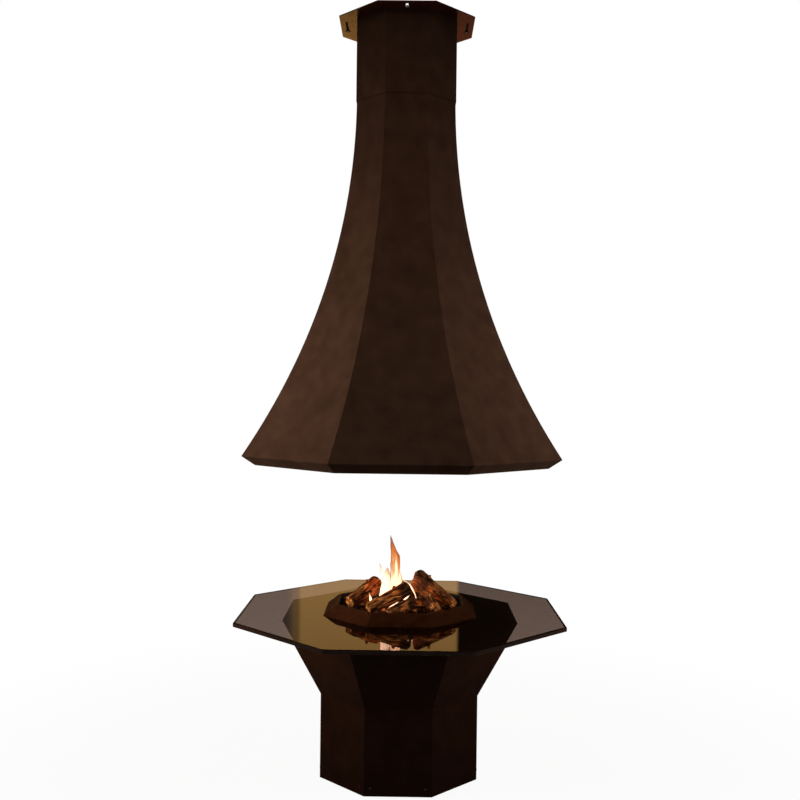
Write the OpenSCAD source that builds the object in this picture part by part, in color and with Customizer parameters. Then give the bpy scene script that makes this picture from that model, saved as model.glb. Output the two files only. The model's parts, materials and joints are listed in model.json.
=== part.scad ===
// Hanging gas fireplace: a flared octagonal hood hung from the ceiling over a glass hearth table.
// Origin: centre of the plinth on the floor. +Z up, front towards -Y, sizes in millimetres.

/* [Heights] */
// Floor to ceiling, where the top of the ceiling plate is
ceiling_h = 2700; // [2640:5:3000]
// Height of the hood's rim above the floor
rim_h = 1143; // [1060:1:1200]
// Height of the top of the glass above the floor
table_h = 573; // [540:1:640]

/* [Hood] */
// Hood across flats at the rim
hood_af = 1100; // [900:5:1250]
// Straight neck across flats
neck_af = 352; // [320:1:380]
// Length of the straight neck above the curved part
neck_l = 226; // [150:1:280]
// Sheet thickness of the hood panels and neck
hood_wall = 2.5; // [2:0.25:4]
// How far the return lip slopes inwards
lip_in = 45; // [25:1:70]
// How far the return lip drops below the rim
lip_drop = 32; // [20:1:50]
// How far the hood can be lowered on its rods
hood_drop = 150; // [60:5:180]

/* [Ceiling fixing] */
// Ceiling plate across flats
plate_af = 482; // [460:1:560]
// Thickness of the ceiling plate
plate_t = 4; // [3:0.5:6]
// Central opening of the ceiling plate, for the flue
plate_hole_d = 280; // [260:1:290]
// Sheet thickness of the sleeve
sleeve_wall = 1.5; // [1:0.25:2]
// Running gap between the neck and the sleeve, each side
sleeve_gap = 1; // [0.6:0.1:1.5]
// How far the sleeve reaches down over the curved panels
sleeve_skirt = 17; // [8:1:30]
// Length of the keyhole slots at the two sides
keyhole_side_l = 100; // [60:1:120]
// Length of the keyhole slots at front and back
keyhole_end_l = 36; // [30:1:40]
// Width of a keyhole's narrow end
keyhole_slot_w = 9; // [7:0.5:10]
// Diameter of a keyhole's round end
keyhole_round_d = 17; // [15:0.5:20]
// Diameter of the hanger rods
rod_d = 10; // [8:1:12]
// Flue collar outside diameter
flue_d = 200; // [150:1:220]
// Flue collar sheet thickness
flue_wall = 2; // [1.5:0.25:3]
// Length of the flue collar above the flue plate
flue_h = 70; // [50:1:72]
// Thickness of the flue plate
flue_plate_t = 5; // [4:0.5:8]

/* [Glass table] */
// Glass across flats
glass_af = 1142; // [1000:1:1300]
// Glass thickness
glass_t = 15; // [10:1:19]
// Polished arris along the glass edges
glass_arris = 1.5; // [0.5:0.25:3]
// Hole through the middle of the glass
glass_hole_d = 60; // [56:1:80]
// Thickness of the clear pads under the glass
pad_t = 2; // [1:0.5:4]
// Diameter of the clear pads
pad_d = 24; // [14:1:30]

/* [Pedestal] */
// Plinth across flats
plinth_af = 555; // [520:1:620]
// Height of the straight plinth
plinth_h = 297; // [280:1:340]
// Flare across flats under the glass
flare_top_af = 820; // [760:1:900]
// Sheet thickness of plinth and flare
plinth_wall = 3; // [2:0.25:4]
// Width of the flange under the glass
top_flange = 50; // [34:1:60]
// Width of the flanges where flare and plinth meet
seam_flange = 25; // [20:1:30]
// Width of the base frame's foot
foot_w = 45; // [36:1:55]
// Height of the base frame's upright leg
foot_leg = 40; // [34:1:42]
// Diameter of the four floor anchor holes
anchor_d = 11; // [9:0.5:13]

/* [Access door] */
// Width of the door opening
door_w = 170; // [160:1:180]
// Height of the door opening
door_h = 210; // [190:1:225]
// Height of the opening's lower edge above the floor
door_z = 50; // [46:1:58]
// Gap all round the door
door_gap = 2; // [1:0.25:3]
// Thickness of the door sheet
door_t = 2.5; // [1.5:0.25:3]
// Diameter of a hinge knuckle
knuckle_d = 8.6; // [7:0.2:9]
// Diameter of a hinge pin
hinge_pin_d = 3; // [2:0.5:4]

/* [Fire tray] */
// Tray across flats where it stands on the glass
tray_base_af = 544; // [520:1:640]
// Tray across flats at its rim
tray_top_af = 456; // [446:1:500]
// Height of the tray
tray_h = 36; // [32:1:50]
// Width of the tray's rim
tray_rim = 8; // [5:1:12]
// Sheet thickness of tray and pan
tray_wall = 2; // [1.5:0.25:3]
// Height of the pan's feet above the glass
pan_foot_h = 5; // [5:1:12]
// Thickness of the ember bed
ember_t = 14; // [14:1:21]

/* [Burner and gas line] */
// Burner tube outside diameter
burner_d = 22; // [18:1:26]
// Outside diameter of the pipe that joins the burner tubes
manifold_d = 18; // [14:0.5:20]
// Burner and riser wall
burner_wall = 1.5; // [1:0.25:2.5]
// Length of each burner tube
burner_l = 300; // [240:5:340]
// Distance between the two burner tubes
burner_pitch = 140; // [120:2:150]
// Diameter of a burner port
port_d = 2.4; // [1.5:0.1:3]
// Number of ports in each burner tube
port_n = 12; // [6:1:16]
// Gas riser outside diameter
riser_d = 16; // [12:1:18]
// Bend radius of the riser
riser_bend = 30; // [22:1:40]
// Outside diameter of the inlet pipe
inlet_d = 21.3; // [15:0.1:22]
// Diameter of the control knob
knob_d = 40; // [30:1:46]
// How far the control knob pushes in
knob_push = 3; // [2:0.5:4]
// How far the igniter button pushes in
button_push = 6; // [3:0.5:7]

/* [Hidden] */

$fn = 48;
SIDES = 8;
TURN = 360 / SIDES;
HALF = TURN / 2;
// Overcut that lets a cutting solid pass a face
CUT = 1;
// Radial clearance of a running fit, and of a bolt in its hole
RUN = 0.1;
BOLT_GAP = 0.3;
// Side clearance of a sheet part that slips into another
SLIP = 0.3;

// --- heights that follow from the driving dimensions
plate_z = ceiling_h - plate_t;
neck_headroom = 46;
neck_top_z = plate_z - neck_headroom;
flare_top_z = neck_top_z - neck_l;
flare_h = flare_top_z - rim_h;
sleeve_z = flare_top_z - sleeve_skirt;
flue_plate_depth = 30;
flue_plate_z = neck_top_z - flue_plate_depth;
glass_z = table_h - glass_t;
flange_z = glass_z - pad_t;
pan_z = table_h + pan_foot_h;
pan_top_z = pan_z + tray_wall;
ember_top_z = pan_top_z + ember_t;

// --- the hood's curve: one arc, upright where it meets the neck
rim_w = hood_af / 2;
neck_w = neck_af / 2;
flare_out = rim_w - neck_w;
flare_r = (flare_out * flare_out + flare_h * flare_h) / (2 * flare_out);
flare_cx = neck_w + flare_r;
// Half width of the inner skin at the rim
rim_inner_w = flare_cx - sqrt(pow(flare_r + hood_wall, 2) - flare_h * flare_h);

// --- ceiling end
sleeve_af = neck_af + 2 * (sleeve_gap + sleeve_wall);
rod_edge = 13;
rod_r = neck_w - hood_wall - rod_edge;
nut_af = 1.7 * rod_d;
nut_h = 0.8 * rod_d;
rod_spare = 20;
rod_z = flue_plate_z - flue_plate_t - nut_h - hood_drop - rod_spare;
// Keyholes sit in the rim of the plate outside the sleeve
rim_middle = (plate_af + sleeve_af) / 4;
keyhole_side_x = rim_middle + 8;
keyhole_end_y = rim_middle - 3;
angle_leg = 24;
angle_t = 2;
angle_l = 40;
angle_screw_d = 5;
angle_screw_r = sleeve_af / 2 - sleeve_wall - angle_leg * 0.6;
collar_flange = 22;
collar_tail = 10;

// --- pedestal
plinth_w = plinth_af / 2;
seam_bolt_d = 6;
seam_bolt_r = plinth_w - plinth_wall - (seam_flange - plinth_wall) * 0.5;
frame_w = plinth_w - plinth_wall;
anchor_edge = 24;
anchor_r = frame_w - anchor_edge;
foot_screw_d = 5;
foot_screw_z = 28;
foot_screw_edge = 21;
face_half = plinth_w * tan(HALF);
pad_r = flare_top_af / 2 - top_flange / 2;

// --- access door, in the back face
door_face = plinth_w;
hinge_x = -door_w / 2 + door_gap / 2;
knuckle_lift = 0.7;
hinge_y = door_face + knuckle_d / 2 + knuckle_lift;
hinge_l = 30;
hinge_leaf_t = 1.5;
hinge_leaf_w = 24;
hinge_leaf_gap = 0.5;
hinge_zs = [door_z + 0.2 * door_h, door_z + 0.8 * door_h];
knuckle_gap = 0.2;
pull_edge = 22;
pull_x = door_w / 2 - pull_edge;
vent_n = 5;
vent_w = 6;
vent_pitch = 20;
vent_h = 60;

// --- fire tray and burner
tray_base_w = tray_base_af / 2;
tray_top_w = tray_top_af / 2;
pan_w = tray_top_w - tray_rim - SLIP;
pan_wall_h = table_h + tray_h - tray_wall - pan_z;
pan_foot_d = 16;
pan_foot_x = 130;
pan_foot_y = 110;
burner_r = burner_d / 2;
burner_lift = 2;
burner_z = pan_top_z + burner_lift + burner_r;
saddle_l = 10;
saddle_w = 0.9 * burner_d;
saddle_x = burner_l / 2 - 25;
port_edge = 20;
port_pitch = (burner_l - 2 * port_edge) / (port_n - 1);
groove_gap = 0.5;
pan_hole_d = glass_hole_d - 2;
log_pin_d = 6;
log_pin_gap = 0.2;

// --- gas line, all inside the plinth behind the door
panel_y = plinth_w - foot_w;
panel_t = 2.5;
panel_w = 150;
panel_fin = 14;
panel_foot = 26;
panel_top_z = 206;
control_z = 150;
valve_w = 60;
valve_d = 50;
valve_h = 70;
knob_gap = 3.5;
knob_h = 18;
knob_grip = 10;
spindle_d = 8;
button_x = 52;
button_d = 12;
button_in = 12;
igniter_d = 20;
igniter_l = 30;
valve_boss_h = 10;
supply_x = -62;
supply_back = 40;
supply_y = panel_y - supply_back;
supply_d = 15;
supply_bend = 18;
cock_z = 62;
cock_h = 36;
cock_d = 32;
cock_hex_h = 8;
stem_l = 4;
lever_t = 3;
lever_l = 46;
lever_hub_h = 4;
lever_bore_d = 7;
inlet_z = 18;
inlet_wall = 2.6;
pilot_x = 19;
pilot_d = 4;
pilot_wall = 0.8;
terminal_d = 5;
riser_below_glass = 90;
riser_turn_z = table_h - riser_below_glass;
riser_y = panel_y - valve_d / 2;
boss_h = 3;
boss_d = riser_d + 4;
manifold_z = burner_z - manifold_d / 2 - boss_h;
pilot_seat_z = burner_z + manifold_d / 2;
pilot_plate_t = 1.5;
pilot_top_z = pilot_seat_z + pilot_plate_t;

// --- logs: low end, high end, their radii, share of the radius left on the split side, and where
// along it the pins stand. Sizes are in percent of the tray opening's half width, from the middle
// of the ember bed's top.
fire_unit = tray_top_w / 100;
LOG_BACK_LEFT = [[-79.5, -44, 10.4], [-37.7, 1.5, 32], 9.8, 15, 0.6, [0.2, 0.75]];
LOG_FRONT = [[-49, -76, 8.7], [12, -39.5, 30.6], 8.2, 14.4, 0.8, [0.12, 0.45]];
LOG_SMALL = [[-18.5, -86, 6.8], [20, -62, 19.2], 6.2, 8.8, 0.9, [0.25, 0.75]];
LOG_BACK_RIGHT = [[83, -41.5, 9], [24.8, 6.1, 39.3], 8.3, 18.2, 0.6, [0.12, 0.8]];
LOG_FRONT_RIGHT = [[55.5, -72, 8.4], [39.6, -36.8, 20.2], 7.9, 10.4, 0.8, [0.25, 0.8]];

// --- ember pieces: place from the centre, size (in the same percent), and turn
CHUNKS = [
  [-29, 2, 8.8, 15], [-86, -10.5, 7.5, 50], [-30.7, 43, 9.6, 30], [-4.4, 51.8, 8.3, 75],
  [26.3, 49.1, 10.1, 10], [51.8, 43, 7.9, 40], [19.3, -47.4, 7, 65], [-70.2, 14.9, 6.6, 80],
  [81.6, 0, 8.3, 25], [-9.6, 12.3, 7, 45], [73.7, 28.9, 7, 5], [-51.8, 51.8, 8.8, 60]
];

// --- shared shapes
module octagon(af) {
  rotate(HALF) circle(d = af / cos(HALF), $fn = SIDES);
}

module octagon_plate(af, h) {
  linear_extrude(h) octagon(af);
}

module octagon_tube(af, wall, h) {
  linear_extrude(h) difference() {
    octagon(af);
    octagon(af - 2 * wall);
  }
}

// One of eight sides: a profile (distance from the axis, height) drawn out and mitred at 22.5 degrees
module mitred_side(i, reach, top) {
  rotate(TURN * i) intersection() {
    rotate([90, 0, 0]) linear_extrude(2 * reach, center = true) children();
    linear_extrude(top) polygon([[0, 0], [reach, -reach * tan(HALF)], [reach, reach * tan(HALF)]]);
  }
}

// Eight-sided solid whose flats follow an edge line: (distance from the axis, height), going up
module octagon_body(edge) {
  reach = 2 * rim_w;
  side = concat([[-reach, edge[0][1]]], edge, [[-reach, edge[len(edge) - 1][1]]]);
  intersection_for(i = [0 : SIDES - 1]) rotate(TURN * i) rotate([90, 0, 0])
    linear_extrude(2 * reach, center = true) polygon(side);
}

module at_faces(n) {
  for (i = [0 : n - 1]) rotate(360 / n * i) children();
}

module bore(d, h) {
  translate([0, 0, -CUT]) cylinder(d = d, h = h + 2 * CUT);
}

module nut(af, h, hole_d) {
  difference() {
    cylinder(d = af / cos(30), h = h, $fn = 6);
    bore(hole_d, h);
  }
}

// Button-head screw along -Z from the head's seat at z = 0
module button_screw(d, l) {
  intersection() {
    cylinder(d = 1.9 * d, h = d);
    translate([0, 0, -1.5 * d]) sphere(r = 2 * d);
  }
  translate([0, 0, -l]) cylinder(d = d, h = l);
}

module slot_2d(w, h) {
  translate([0, w / 2 - h / 2]) circle(d = w);
  translate([0, h / 2 - w / 2]) circle(d = w);
  square([w, h - w], center = true);
}

// --- ceiling plate, sleeve and hangers
module keyhole_2d(l) {
  translate([0, l / 2 - keyhole_round_d / 2]) circle(d = keyhole_round_d);
  translate([0, (keyhole_slot_w - keyhole_round_d) / 4])
    square([keyhole_slot_w, l - keyhole_slot_w / 2 - keyhole_round_d / 2], center = true);
  translate([0, keyhole_slot_w / 2 - l / 2]) circle(d = keyhole_slot_w);
}

module ceiling_plate() {
  color("peru") translate([0, 0, plate_z]) linear_extrude(plate_t) difference() {
    octagon(plate_af);
    circle(d = plate_hole_d, $fn = 96);
    for (s = [-1, 1]) {
      translate([s * keyhole_side_x, 0]) keyhole_2d(keyhole_side_l);
      translate([0, s * keyhole_end_y]) keyhole_2d(keyhole_end_l);
    }
    for (i = [0 : 3]) {
      rotate(90 * i + 45) translate([rod_r, 0]) circle(d = rod_d + 2 * RUN);
      rotate(90 * i) translate([angle_screw_r, 0]) circle(d = angle_screw_d + 2 * RUN);
    }
  }
}

module ceiling_sleeve() {
  color("saddlebrown") translate([0, 0, sleeve_z])
    octagon_tube(sleeve_af, sleeve_wall, plate_z - sleeve_z);
}

module sleeve_brackets() {
  wall_x = sleeve_af / 2 - sleeve_wall;
  color("dimgray") at_faces(4) difference() {
    translate([wall_x, angle_l / 2, plate_z]) rotate([90, 0, 0]) linear_extrude(angle_l)
      polygon([[0, 0], [0, -angle_leg], [-angle_t, -angle_leg], [-angle_t, -angle_t],
               [-angle_leg, -angle_t], [-angle_leg, 0]]);
    translate([angle_screw_r, 0, plate_z - angle_t]) bore(angle_screw_d + 2 * RUN, angle_t);
  }
}

module bracket_screws() {
  color("silver") at_faces(4) translate([angle_screw_r, 0, plate_z - angle_t])
    rotate([180, 0, 0]) button_screw(angle_screw_d, angle_t + plate_t - CUT);
}

module hanger_rods() {
  color("silver") rotate(45) at_faces(4) translate([rod_r, 0, rod_z])
    cylinder(d = rod_d, h = ceiling_h - CUT - rod_z);
}

module rod_nuts_upper() {
  color("gainsboro") rotate(45) at_faces(4) translate([rod_r, 0, plate_z - nut_h])
    nut(nut_af, nut_h, rod_d);
}

module rod_nuts_lower() {
  color("gainsboro") rotate(45) at_faces(4)
    translate([rod_r, 0, flue_plate_z - flue_plate_t - nut_h]) nut(nut_af, nut_h, rod_d + 2 * RUN);
}

// --- hood
module neck_tube() {
  color("saddlebrown") translate([0, 0, flare_top_z])
    octagon_tube(neck_af, hood_wall, neck_top_z - flare_top_z);
}

module flue_plate() {
  color("dimgray") translate([0, 0, flue_plate_z - flue_plate_t]) linear_extrude(flue_plate_t)
    difference() {
      octagon(neck_af - 2 * hood_wall);
      circle(d = flue_d + 2 * SLIP, $fn = 96);
      rotate(45) for (i = [0 : 3]) rotate(90 * i) translate([rod_r, 0]) circle(d = rod_d + 2 * BOLT_GAP);
    }
}

module flue_collar() {
  color("gray") rotate_extrude($fn = 96) translate([flue_d / 2, flue_plate_z])
    polygon([[-flue_wall, -flue_plate_t - collar_tail], [0, -flue_plate_t - collar_tail], [0, 0],
             [collar_flange, 0], [collar_flange, flue_wall], [0, flue_wall], [0, flue_h],
             [-flue_wall, flue_h]]);
}

module hood_profile() {
  intersection() {
    translate([flare_cx, flare_top_z]) difference() {
      circle(r = flare_r + hood_wall, $fn = 720);
      circle(r = flare_r, $fn = 720);
    }
    translate([0, rim_h]) square([flare_cx, flare_h]);
  }
}

module hood_panel(i) {
  color("sienna") mitred_side(i - 1, hood_af, ceiling_h) hood_profile();
}

module hood_lip() {
  low_z = rim_h - lip_drop;
  over = lip_in * CUT / lip_drop;
  color("sienna") difference() {
    octagon_body([[rim_w - lip_in, low_z], [rim_w, rim_h]]);
    octagon_body([[rim_inner_w - lip_in - over, low_z - CUT], [rim_inner_w + over, rim_h + CUT]]);
  }
}

// --- glass table
module glass_top() {
  glass_w = glass_af / 2;
  color("slategray", 0.5) difference() {
    octagon_body([
      [glass_w - glass_arris, glass_z], [glass_w, glass_z + glass_arris],
      [glass_w, table_h - glass_arris], [glass_w - glass_arris, table_h]]);
    translate([0, 0, glass_z]) bore(glass_hole_d, glass_t);
  }
}

module glass_pads() {
  color("whitesmoke") at_faces(SIDES) translate([pad_r, 0, flange_z]) cylinder(d = pad_d, h = pad_t);
}

// --- pedestal
module pedestal_flare() {
  top_w = flare_top_af / 2;
  lean = (top_w - plinth_w) / (flange_z - plinth_h);
  wall_w = plinth_wall * sqrt(1 + lean * lean);
  color("maroon") difference() {
    octagon_body([[plinth_w, plinth_h], [top_w, flange_z]]);
    octagon_body([[plinth_w - wall_w + lean * plinth_wall, plinth_h + plinth_wall],
                  [top_w - wall_w - lean * plinth_wall, flange_z - plinth_wall]]);
    translate([0, 0, plinth_h - CUT]) octagon_plate(2 * (plinth_w - seam_flange), plinth_wall + 2 * CUT);
    translate([0, 0, flange_z - plinth_wall - CUT])
      octagon_plate(2 * (top_w - top_flange), plinth_wall + 2 * CUT);
    at_faces(SIDES) translate([seam_bolt_r, 0, plinth_h]) bore(seam_bolt_d + 2 * BOLT_GAP, plinth_wall);
  }
}

module seam_bolts() {
  head_h = 0.65 * seam_bolt_d;
  bolt_nut_h = 0.8 * seam_bolt_d;
  bolt_af = 1.67 * seam_bolt_d;
  color("silver") at_faces(SIDES) translate([seam_bolt_r, 0, plinth_h]) {
    translate([0, 0, plinth_wall]) cylinder(d = bolt_af / cos(30), h = head_h, $fn = 6);
    translate([0, 0, -plinth_wall - bolt_nut_h - CUT])
      cylinder(d = seam_bolt_d, h = 2 * plinth_wall + bolt_nut_h + CUT);
    translate([0, 0, -plinth_wall - bolt_nut_h]) cylinder(d = bolt_af / cos(30), h = bolt_nut_h, $fn = 6);
  }
}

module foot_screw_places() {
  at_faces(SIDES) for (s = [-1, 1])
    translate([plinth_w, s * (face_half - foot_screw_edge), foot_screw_z]) rotate([0, 90, 0]) children();
}

module plinth_shell() {
  color("maroon") difference() {
    octagon_plate(plinth_af, plinth_h);
    translate([0, 0, -CUT]) octagon_plate(plinth_af - 2 * plinth_wall, plinth_h - plinth_wall + CUT);
    octagon_plate(plinth_af - 2 * seam_flange, plinth_h + CUT);
    translate([-door_w / 2, door_face - plinth_wall - CUT, door_z])
      cube([door_w, plinth_wall + 2 * CUT, door_h]);
    at_faces(SIDES) translate([seam_bolt_r, 0, plinth_h - plinth_wall])
      bore(seam_bolt_d + 2 * BOLT_GAP, plinth_wall);
    foot_screw_places() translate([0, 0, -plinth_wall]) bore(foot_screw_d + 2 * RUN, plinth_wall);
  }
}

module base_frame() {
  color("dimgray") difference() {
    octagon_plate(2 * frame_w, foot_leg);
    translate([0, 0, plinth_wall]) octagon_plate(2 * (frame_w - plinth_wall), foot_leg);
    translate([0, 0, -CUT]) octagon_plate(2 * (frame_w - foot_w), foot_leg);
    at_faces(4) translate([anchor_r, 0, 0]) bore(anchor_d, plinth_wall);
    foot_screw_places() translate([0, 0, -2 * plinth_wall]) bore(foot_screw_d + 2 * RUN, plinth_wall);
  }
}

module base_screws() {
  color("silver") foot_screw_places() button_screw(foot_screw_d, 2 * plinth_wall + CUT);
}

// --- access door
module door_panel() {
  w = door_w - 2 * door_gap;
  h = door_h - 2 * door_gap;
  fold = 12;
  color("maroon") {
    translate([0, door_face, door_z + door_h / 2]) rotate([90, 0, 0]) linear_extrude(door_t) difference() {
      square([w, h], center = true);
      for (i = [0 : vent_n - 1])
        translate([(i - (vent_n - 1) / 2) * vent_pitch, h / 5]) slot_2d(vent_w, vent_h);
    }
    for (s = [0, 1])
      translate([-w / 2 + fold, door_face - door_t - fold, door_z + door_gap + s * (h - door_t)])
        cube([w - 2 * fold, fold, door_t]);
  }
}

module door_pull() {
  profile = [[0, 0], [6, 0], [4, 4], [4, 9], [9, 13], [9, 17], [7, 19], [0, 19]];
  color("silver") translate([pull_x, door_face, door_z + door_h / 2]) rotate([-90, 0, 0])
    rotate_extrude() polygon(profile);
}

module door_magnet() {
  l = 30;
  w = 34;
  d = 12;
  color("dimgray") translate([door_w / 2 - w / 2, door_face - plinth_wall - d, door_z + door_h / 2 - l / 2])
    cube([w, d, l]);
}

// Knuckle segment k of three, counted from below
module knuckle(z, k) {
  seg = hinge_l / 3;
  translate([hinge_x, hinge_y, z - hinge_l / 2 + k * seg + knuckle_gap / 2])
    cylinder(d = knuckle_d, h = seg - knuckle_gap);
}

module knuckle_bore(z, d) {
  translate([hinge_x, hinge_y, z - hinge_l / 2]) bore(d, hinge_l);
}

// Leaf plate on the sheet, with the fold that carries it up to the knuckle
module leaf(side, z, from, to) {
  reach = knuckle_d / 2;
  fold_y = 0.4 * knuckle_d;
  x0 = hinge_x + side * (reach + hinge_leaf_gap);
  x1 = hinge_x + side * (reach + hinge_leaf_w);
  translate([min(x0, x1), door_face, z - hinge_l / 2]) cube([abs(x1 - x0), hinge_leaf_t, hinge_l]);
  translate([min(x0, hinge_x), door_face + fold_y, z - hinge_l / 2 + from])
    cube([abs(x0 - hinge_x), hinge_leaf_t, to - from]);
  translate([x0 - (side < 0 ? 0 : hinge_leaf_t), door_face, z - hinge_l / 2 + from])
    cube([hinge_leaf_t, fold_y + hinge_leaf_t, to - from]);
}

module hinge_leaves() {
  seg = hinge_l / 3;
  color("silver") for (z = hinge_zs) difference() {
    union() {
      knuckle(z, 0);
      knuckle(z, 2);
      leaf(-1, z, knuckle_gap / 2, seg - knuckle_gap / 2);
      leaf(-1, z, 2 * seg + knuckle_gap / 2, hinge_l - knuckle_gap / 2);
    }
    knuckle_bore(z, hinge_pin_d);
  }
}

module hinge_flaps() {
  seg = hinge_l / 3;
  color("silver") for (z = hinge_zs) difference() {
    union() {
      knuckle(z, 1);
      leaf(1, z, seg + knuckle_gap / 2, 2 * seg - knuckle_gap / 2);
    }
    knuckle_bore(z, hinge_pin_d + 2 * RUN);
  }
}

module hinge_pins() {
  head_h = 1.5;
  head_d = 1.8 * hinge_pin_d;
  pin_l = hinge_l - knuckle_gap / 2;
  color("gainsboro") for (z = hinge_zs) translate([hinge_x, hinge_y, z - hinge_l / 2]) {
    cylinder(d = hinge_pin_d, h = pin_l);
    translate([0, 0, pin_l]) cylinder(d = head_d, h = head_h);
  }
}

// --- fire tray and burner
module fire_tray() {
  lean = (tray_base_w - tray_top_w) / tray_h;
  wall_w = tray_wall * sqrt(1 + lean * lean);
  color("saddlebrown") translate([0, 0, table_h]) difference() {
    octagon_body([[tray_base_w, 0], [tray_top_w, tray_h]]);
    octagon_body([[tray_base_w - wall_w + lean * CUT, -CUT],
                  [tray_top_w - wall_w + lean * tray_wall, tray_h - tray_wall]]);
    octagon_plate(2 * (tray_top_w - tray_rim), tray_h + CUT);
  }
}

module saddle_places() {
  for (sx = [-1, 1]) for (sy = [-1, 1])
    translate([sx * saddle_x - saddle_l / 2, sy * burner_pitch / 2, pan_top_z]) children();
}

module burner_pan() {
  color("dimgray") difference() {
    union() {
      translate([0, 0, pan_z]) difference() {
        octagon_plate(2 * pan_w, pan_wall_h);
        translate([0, 0, tray_wall]) octagon_plate(2 * (pan_w - tray_wall), pan_wall_h);
      }
      saddle_places() translate([0, -saddle_w / 2, 0]) cube([saddle_l, saddle_w, 0.6 * saddle_w]);
    }
    translate([0, 0, pan_z]) bore(pan_hole_d, tray_wall);
    saddle_places() translate([-CUT, 0, burner_z + RUN - pan_top_z]) rotate([0, 90, 0])
      cylinder(d = burner_d + 2 * RUN, h = saddle_l + 2 * CUT);
  }
}

module pan_feet() {
  color("gray") for (sx = [-1, 1]) for (sy = [-1, 1])
    translate([sx * pan_foot_x, sy * pan_foot_y, table_h]) cylinder(d = pan_foot_d, h = pan_foot_h);
}

module burner_core(inset) {
  for (s = [-1, 1]) translate([2 * inset - burner_l / 2, s * burner_pitch / 2, burner_z]) rotate([0, 90, 0])
    cylinder(d = burner_d - 2 * inset, h = burner_l - 4 * inset);
  translate([0, burner_pitch / 2, burner_z]) rotate([90, 0, 0])
    cylinder(d = manifold_d - 2 * inset, h = burner_pitch);
}

module burner_tubes() {
  color("silver") difference() {
    union() {
      burner_core(0);
      translate([0, 0, manifold_z]) cylinder(d = boss_d, h = boss_h + manifold_d / 2);
    }
    burner_core(burner_wall);
    translate([0, 0, manifold_z - CUT])
      cylinder(d = riser_d - 4 * burner_wall, h = CUT + boss_h + manifold_d / 2);
    for (s = [-1, 1]) for (i = [0 : port_n - 1])
      translate([(i - (port_n - 1) / 2) * port_pitch, s * burner_pitch / 2, burner_z])
        cylinder(d = port_d, h = burner_d);
  }
}

// Pilot burner and its bracket, which sits on the crossing tube
module pilot_burner() {
  plate_l = 2 * pilot_x + 14;
  plate_w = 16;
  head_d = 10;
  head_h = 8;
  slit = 3;
  color("goldenrod") {
    difference() {
      translate([-plate_l / 2, -plate_w / 2, pilot_seat_z]) cube([plate_l, plate_w, pilot_plate_t]);
      translate([-pilot_x, 0, pilot_seat_z]) bore(terminal_d + 2 * RUN, pilot_plate_t);
      translate([pilot_x, 0, pilot_seat_z]) bore(pilot_d + 2 * RUN, pilot_plate_t);
    }
    translate([pilot_x, 0, pilot_top_z]) difference() {
      cylinder(d = head_d, h = head_h);
      translate([-head_d, -slit / 2, head_h / 2]) cube([2 * head_d, slit, head_h]);
    }
  }
}

// Electrode in its insulator, which passes the bracket and ends in a pin
module spark_electrode() {
  insulator_d = 7;
  insulator_h = 6;
  insulator_below = 14;
  pin_l = 6;
  wire_d = 2;
  wire_up = 10;
  wire_across = 12;
  color("white") translate([-pilot_x, 0, pilot_top_z]) {
    cylinder(d = insulator_d, h = insulator_h);
    translate([0, 0, -insulator_below]) cylinder(d = terminal_d, h = insulator_below);
    translate([0, 0, -insulator_below - pin_l]) cylinder(d = wire_d, h = pin_l);
    cylinder(d = wire_d, h = wire_up);
    translate([0, 0, wire_up]) sphere(d = wire_d);
    translate([0, 0, wire_up]) rotate([0, 90, 0]) cylinder(d = wire_d, h = wire_across);
  }
}

module ember_groove(d, l) {
  rotate([90, 0, 90]) linear_extrude(l, center = true) {
    translate([0, burner_z]) circle(d = d);
    translate([-d / 2, pan_top_z - CUT]) square([d, burner_z - pan_top_z + CUT]);
  }
}

module ember_bed() {
  groove = burner_d + 2 * groove_gap;
  gap = 2 * groove_gap;
  color("darkred") difference() {
    translate([0, 0, pan_top_z]) octagon_plate(2 * (pan_w - tray_wall - SLIP), ember_t);
    translate([0, 0, pan_top_z]) bore(pan_hole_d, ember_t);
    for (s = [-1, 1]) translate([0, s * burner_pitch / 2, 0]) ember_groove(groove, burner_l + gap);
    rotate(90) ember_groove(manifold_d + 2 * groove_gap, burner_pitch);
    for (l = all_logs()) for (t = l[5])
      translate([log_at(l, t)[0], log_at(l, t)[1], pan_top_z]) bore(log_pin_d + 2 * BOLT_GAP, ember_t);
  }
}

// --- logs
function all_logs() = [LOG_BACK_LEFT, LOG_FRONT, LOG_SMALL, LOG_BACK_RIGHT, LOG_FRONT_RIGHT];
function log_at(l, t) = fire_unit * (l[0] + t * (l[1] - l[0])) + [0, 0, ember_top_z];
// Pins end a little under the log's axis
function pin_top(l, t) = log_at(l, t)[2] - 0.3 * fire_unit * l[2];

// A tapered log, split flat along one side, with bevelled ends and the stub of a branch
module log_body(l) {
  low = fire_unit * l[0];
  d = fire_unit * l[1] - low;
  r_low = fire_unit * l[2];
  r_high = fire_unit * l[3];
  len = norm(d);
  bevel = 0.18 * r_low;
  stub_r = 0.3 * r_low;
  stub_l = 1.35 * r_high;
  color("peru") difference() {
    translate(low + [0, 0, ember_top_z]) rotate([0, acos(d[2] / len), atan2(d[1], d[0])]) difference() {
      union() {
        rotate_extrude() polygon([[0, 0], [r_low - bevel, 0], [r_low, bevel], [r_high, len - bevel],
                                  [r_high - bevel, len], [0, len]]);
        translate([-0.2 * r_low, 0, 0.6 * len]) rotate([0, -60, 0]) cylinder(r = stub_r, h = stub_l);
      }
      translate([-2 * r_high, l[4] * r_high, -CUT]) cube([4 * r_high, 2 * r_high, len + 2 * CUT]);
    }
    for (t = l[5])
      translate([log_at(l, t)[0], log_at(l, t)[1], ember_top_z]) cylinder(d = log_pin_d + 2 * log_pin_gap,
        h = pin_top(l, t) - ember_top_z);
  }
}

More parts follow.
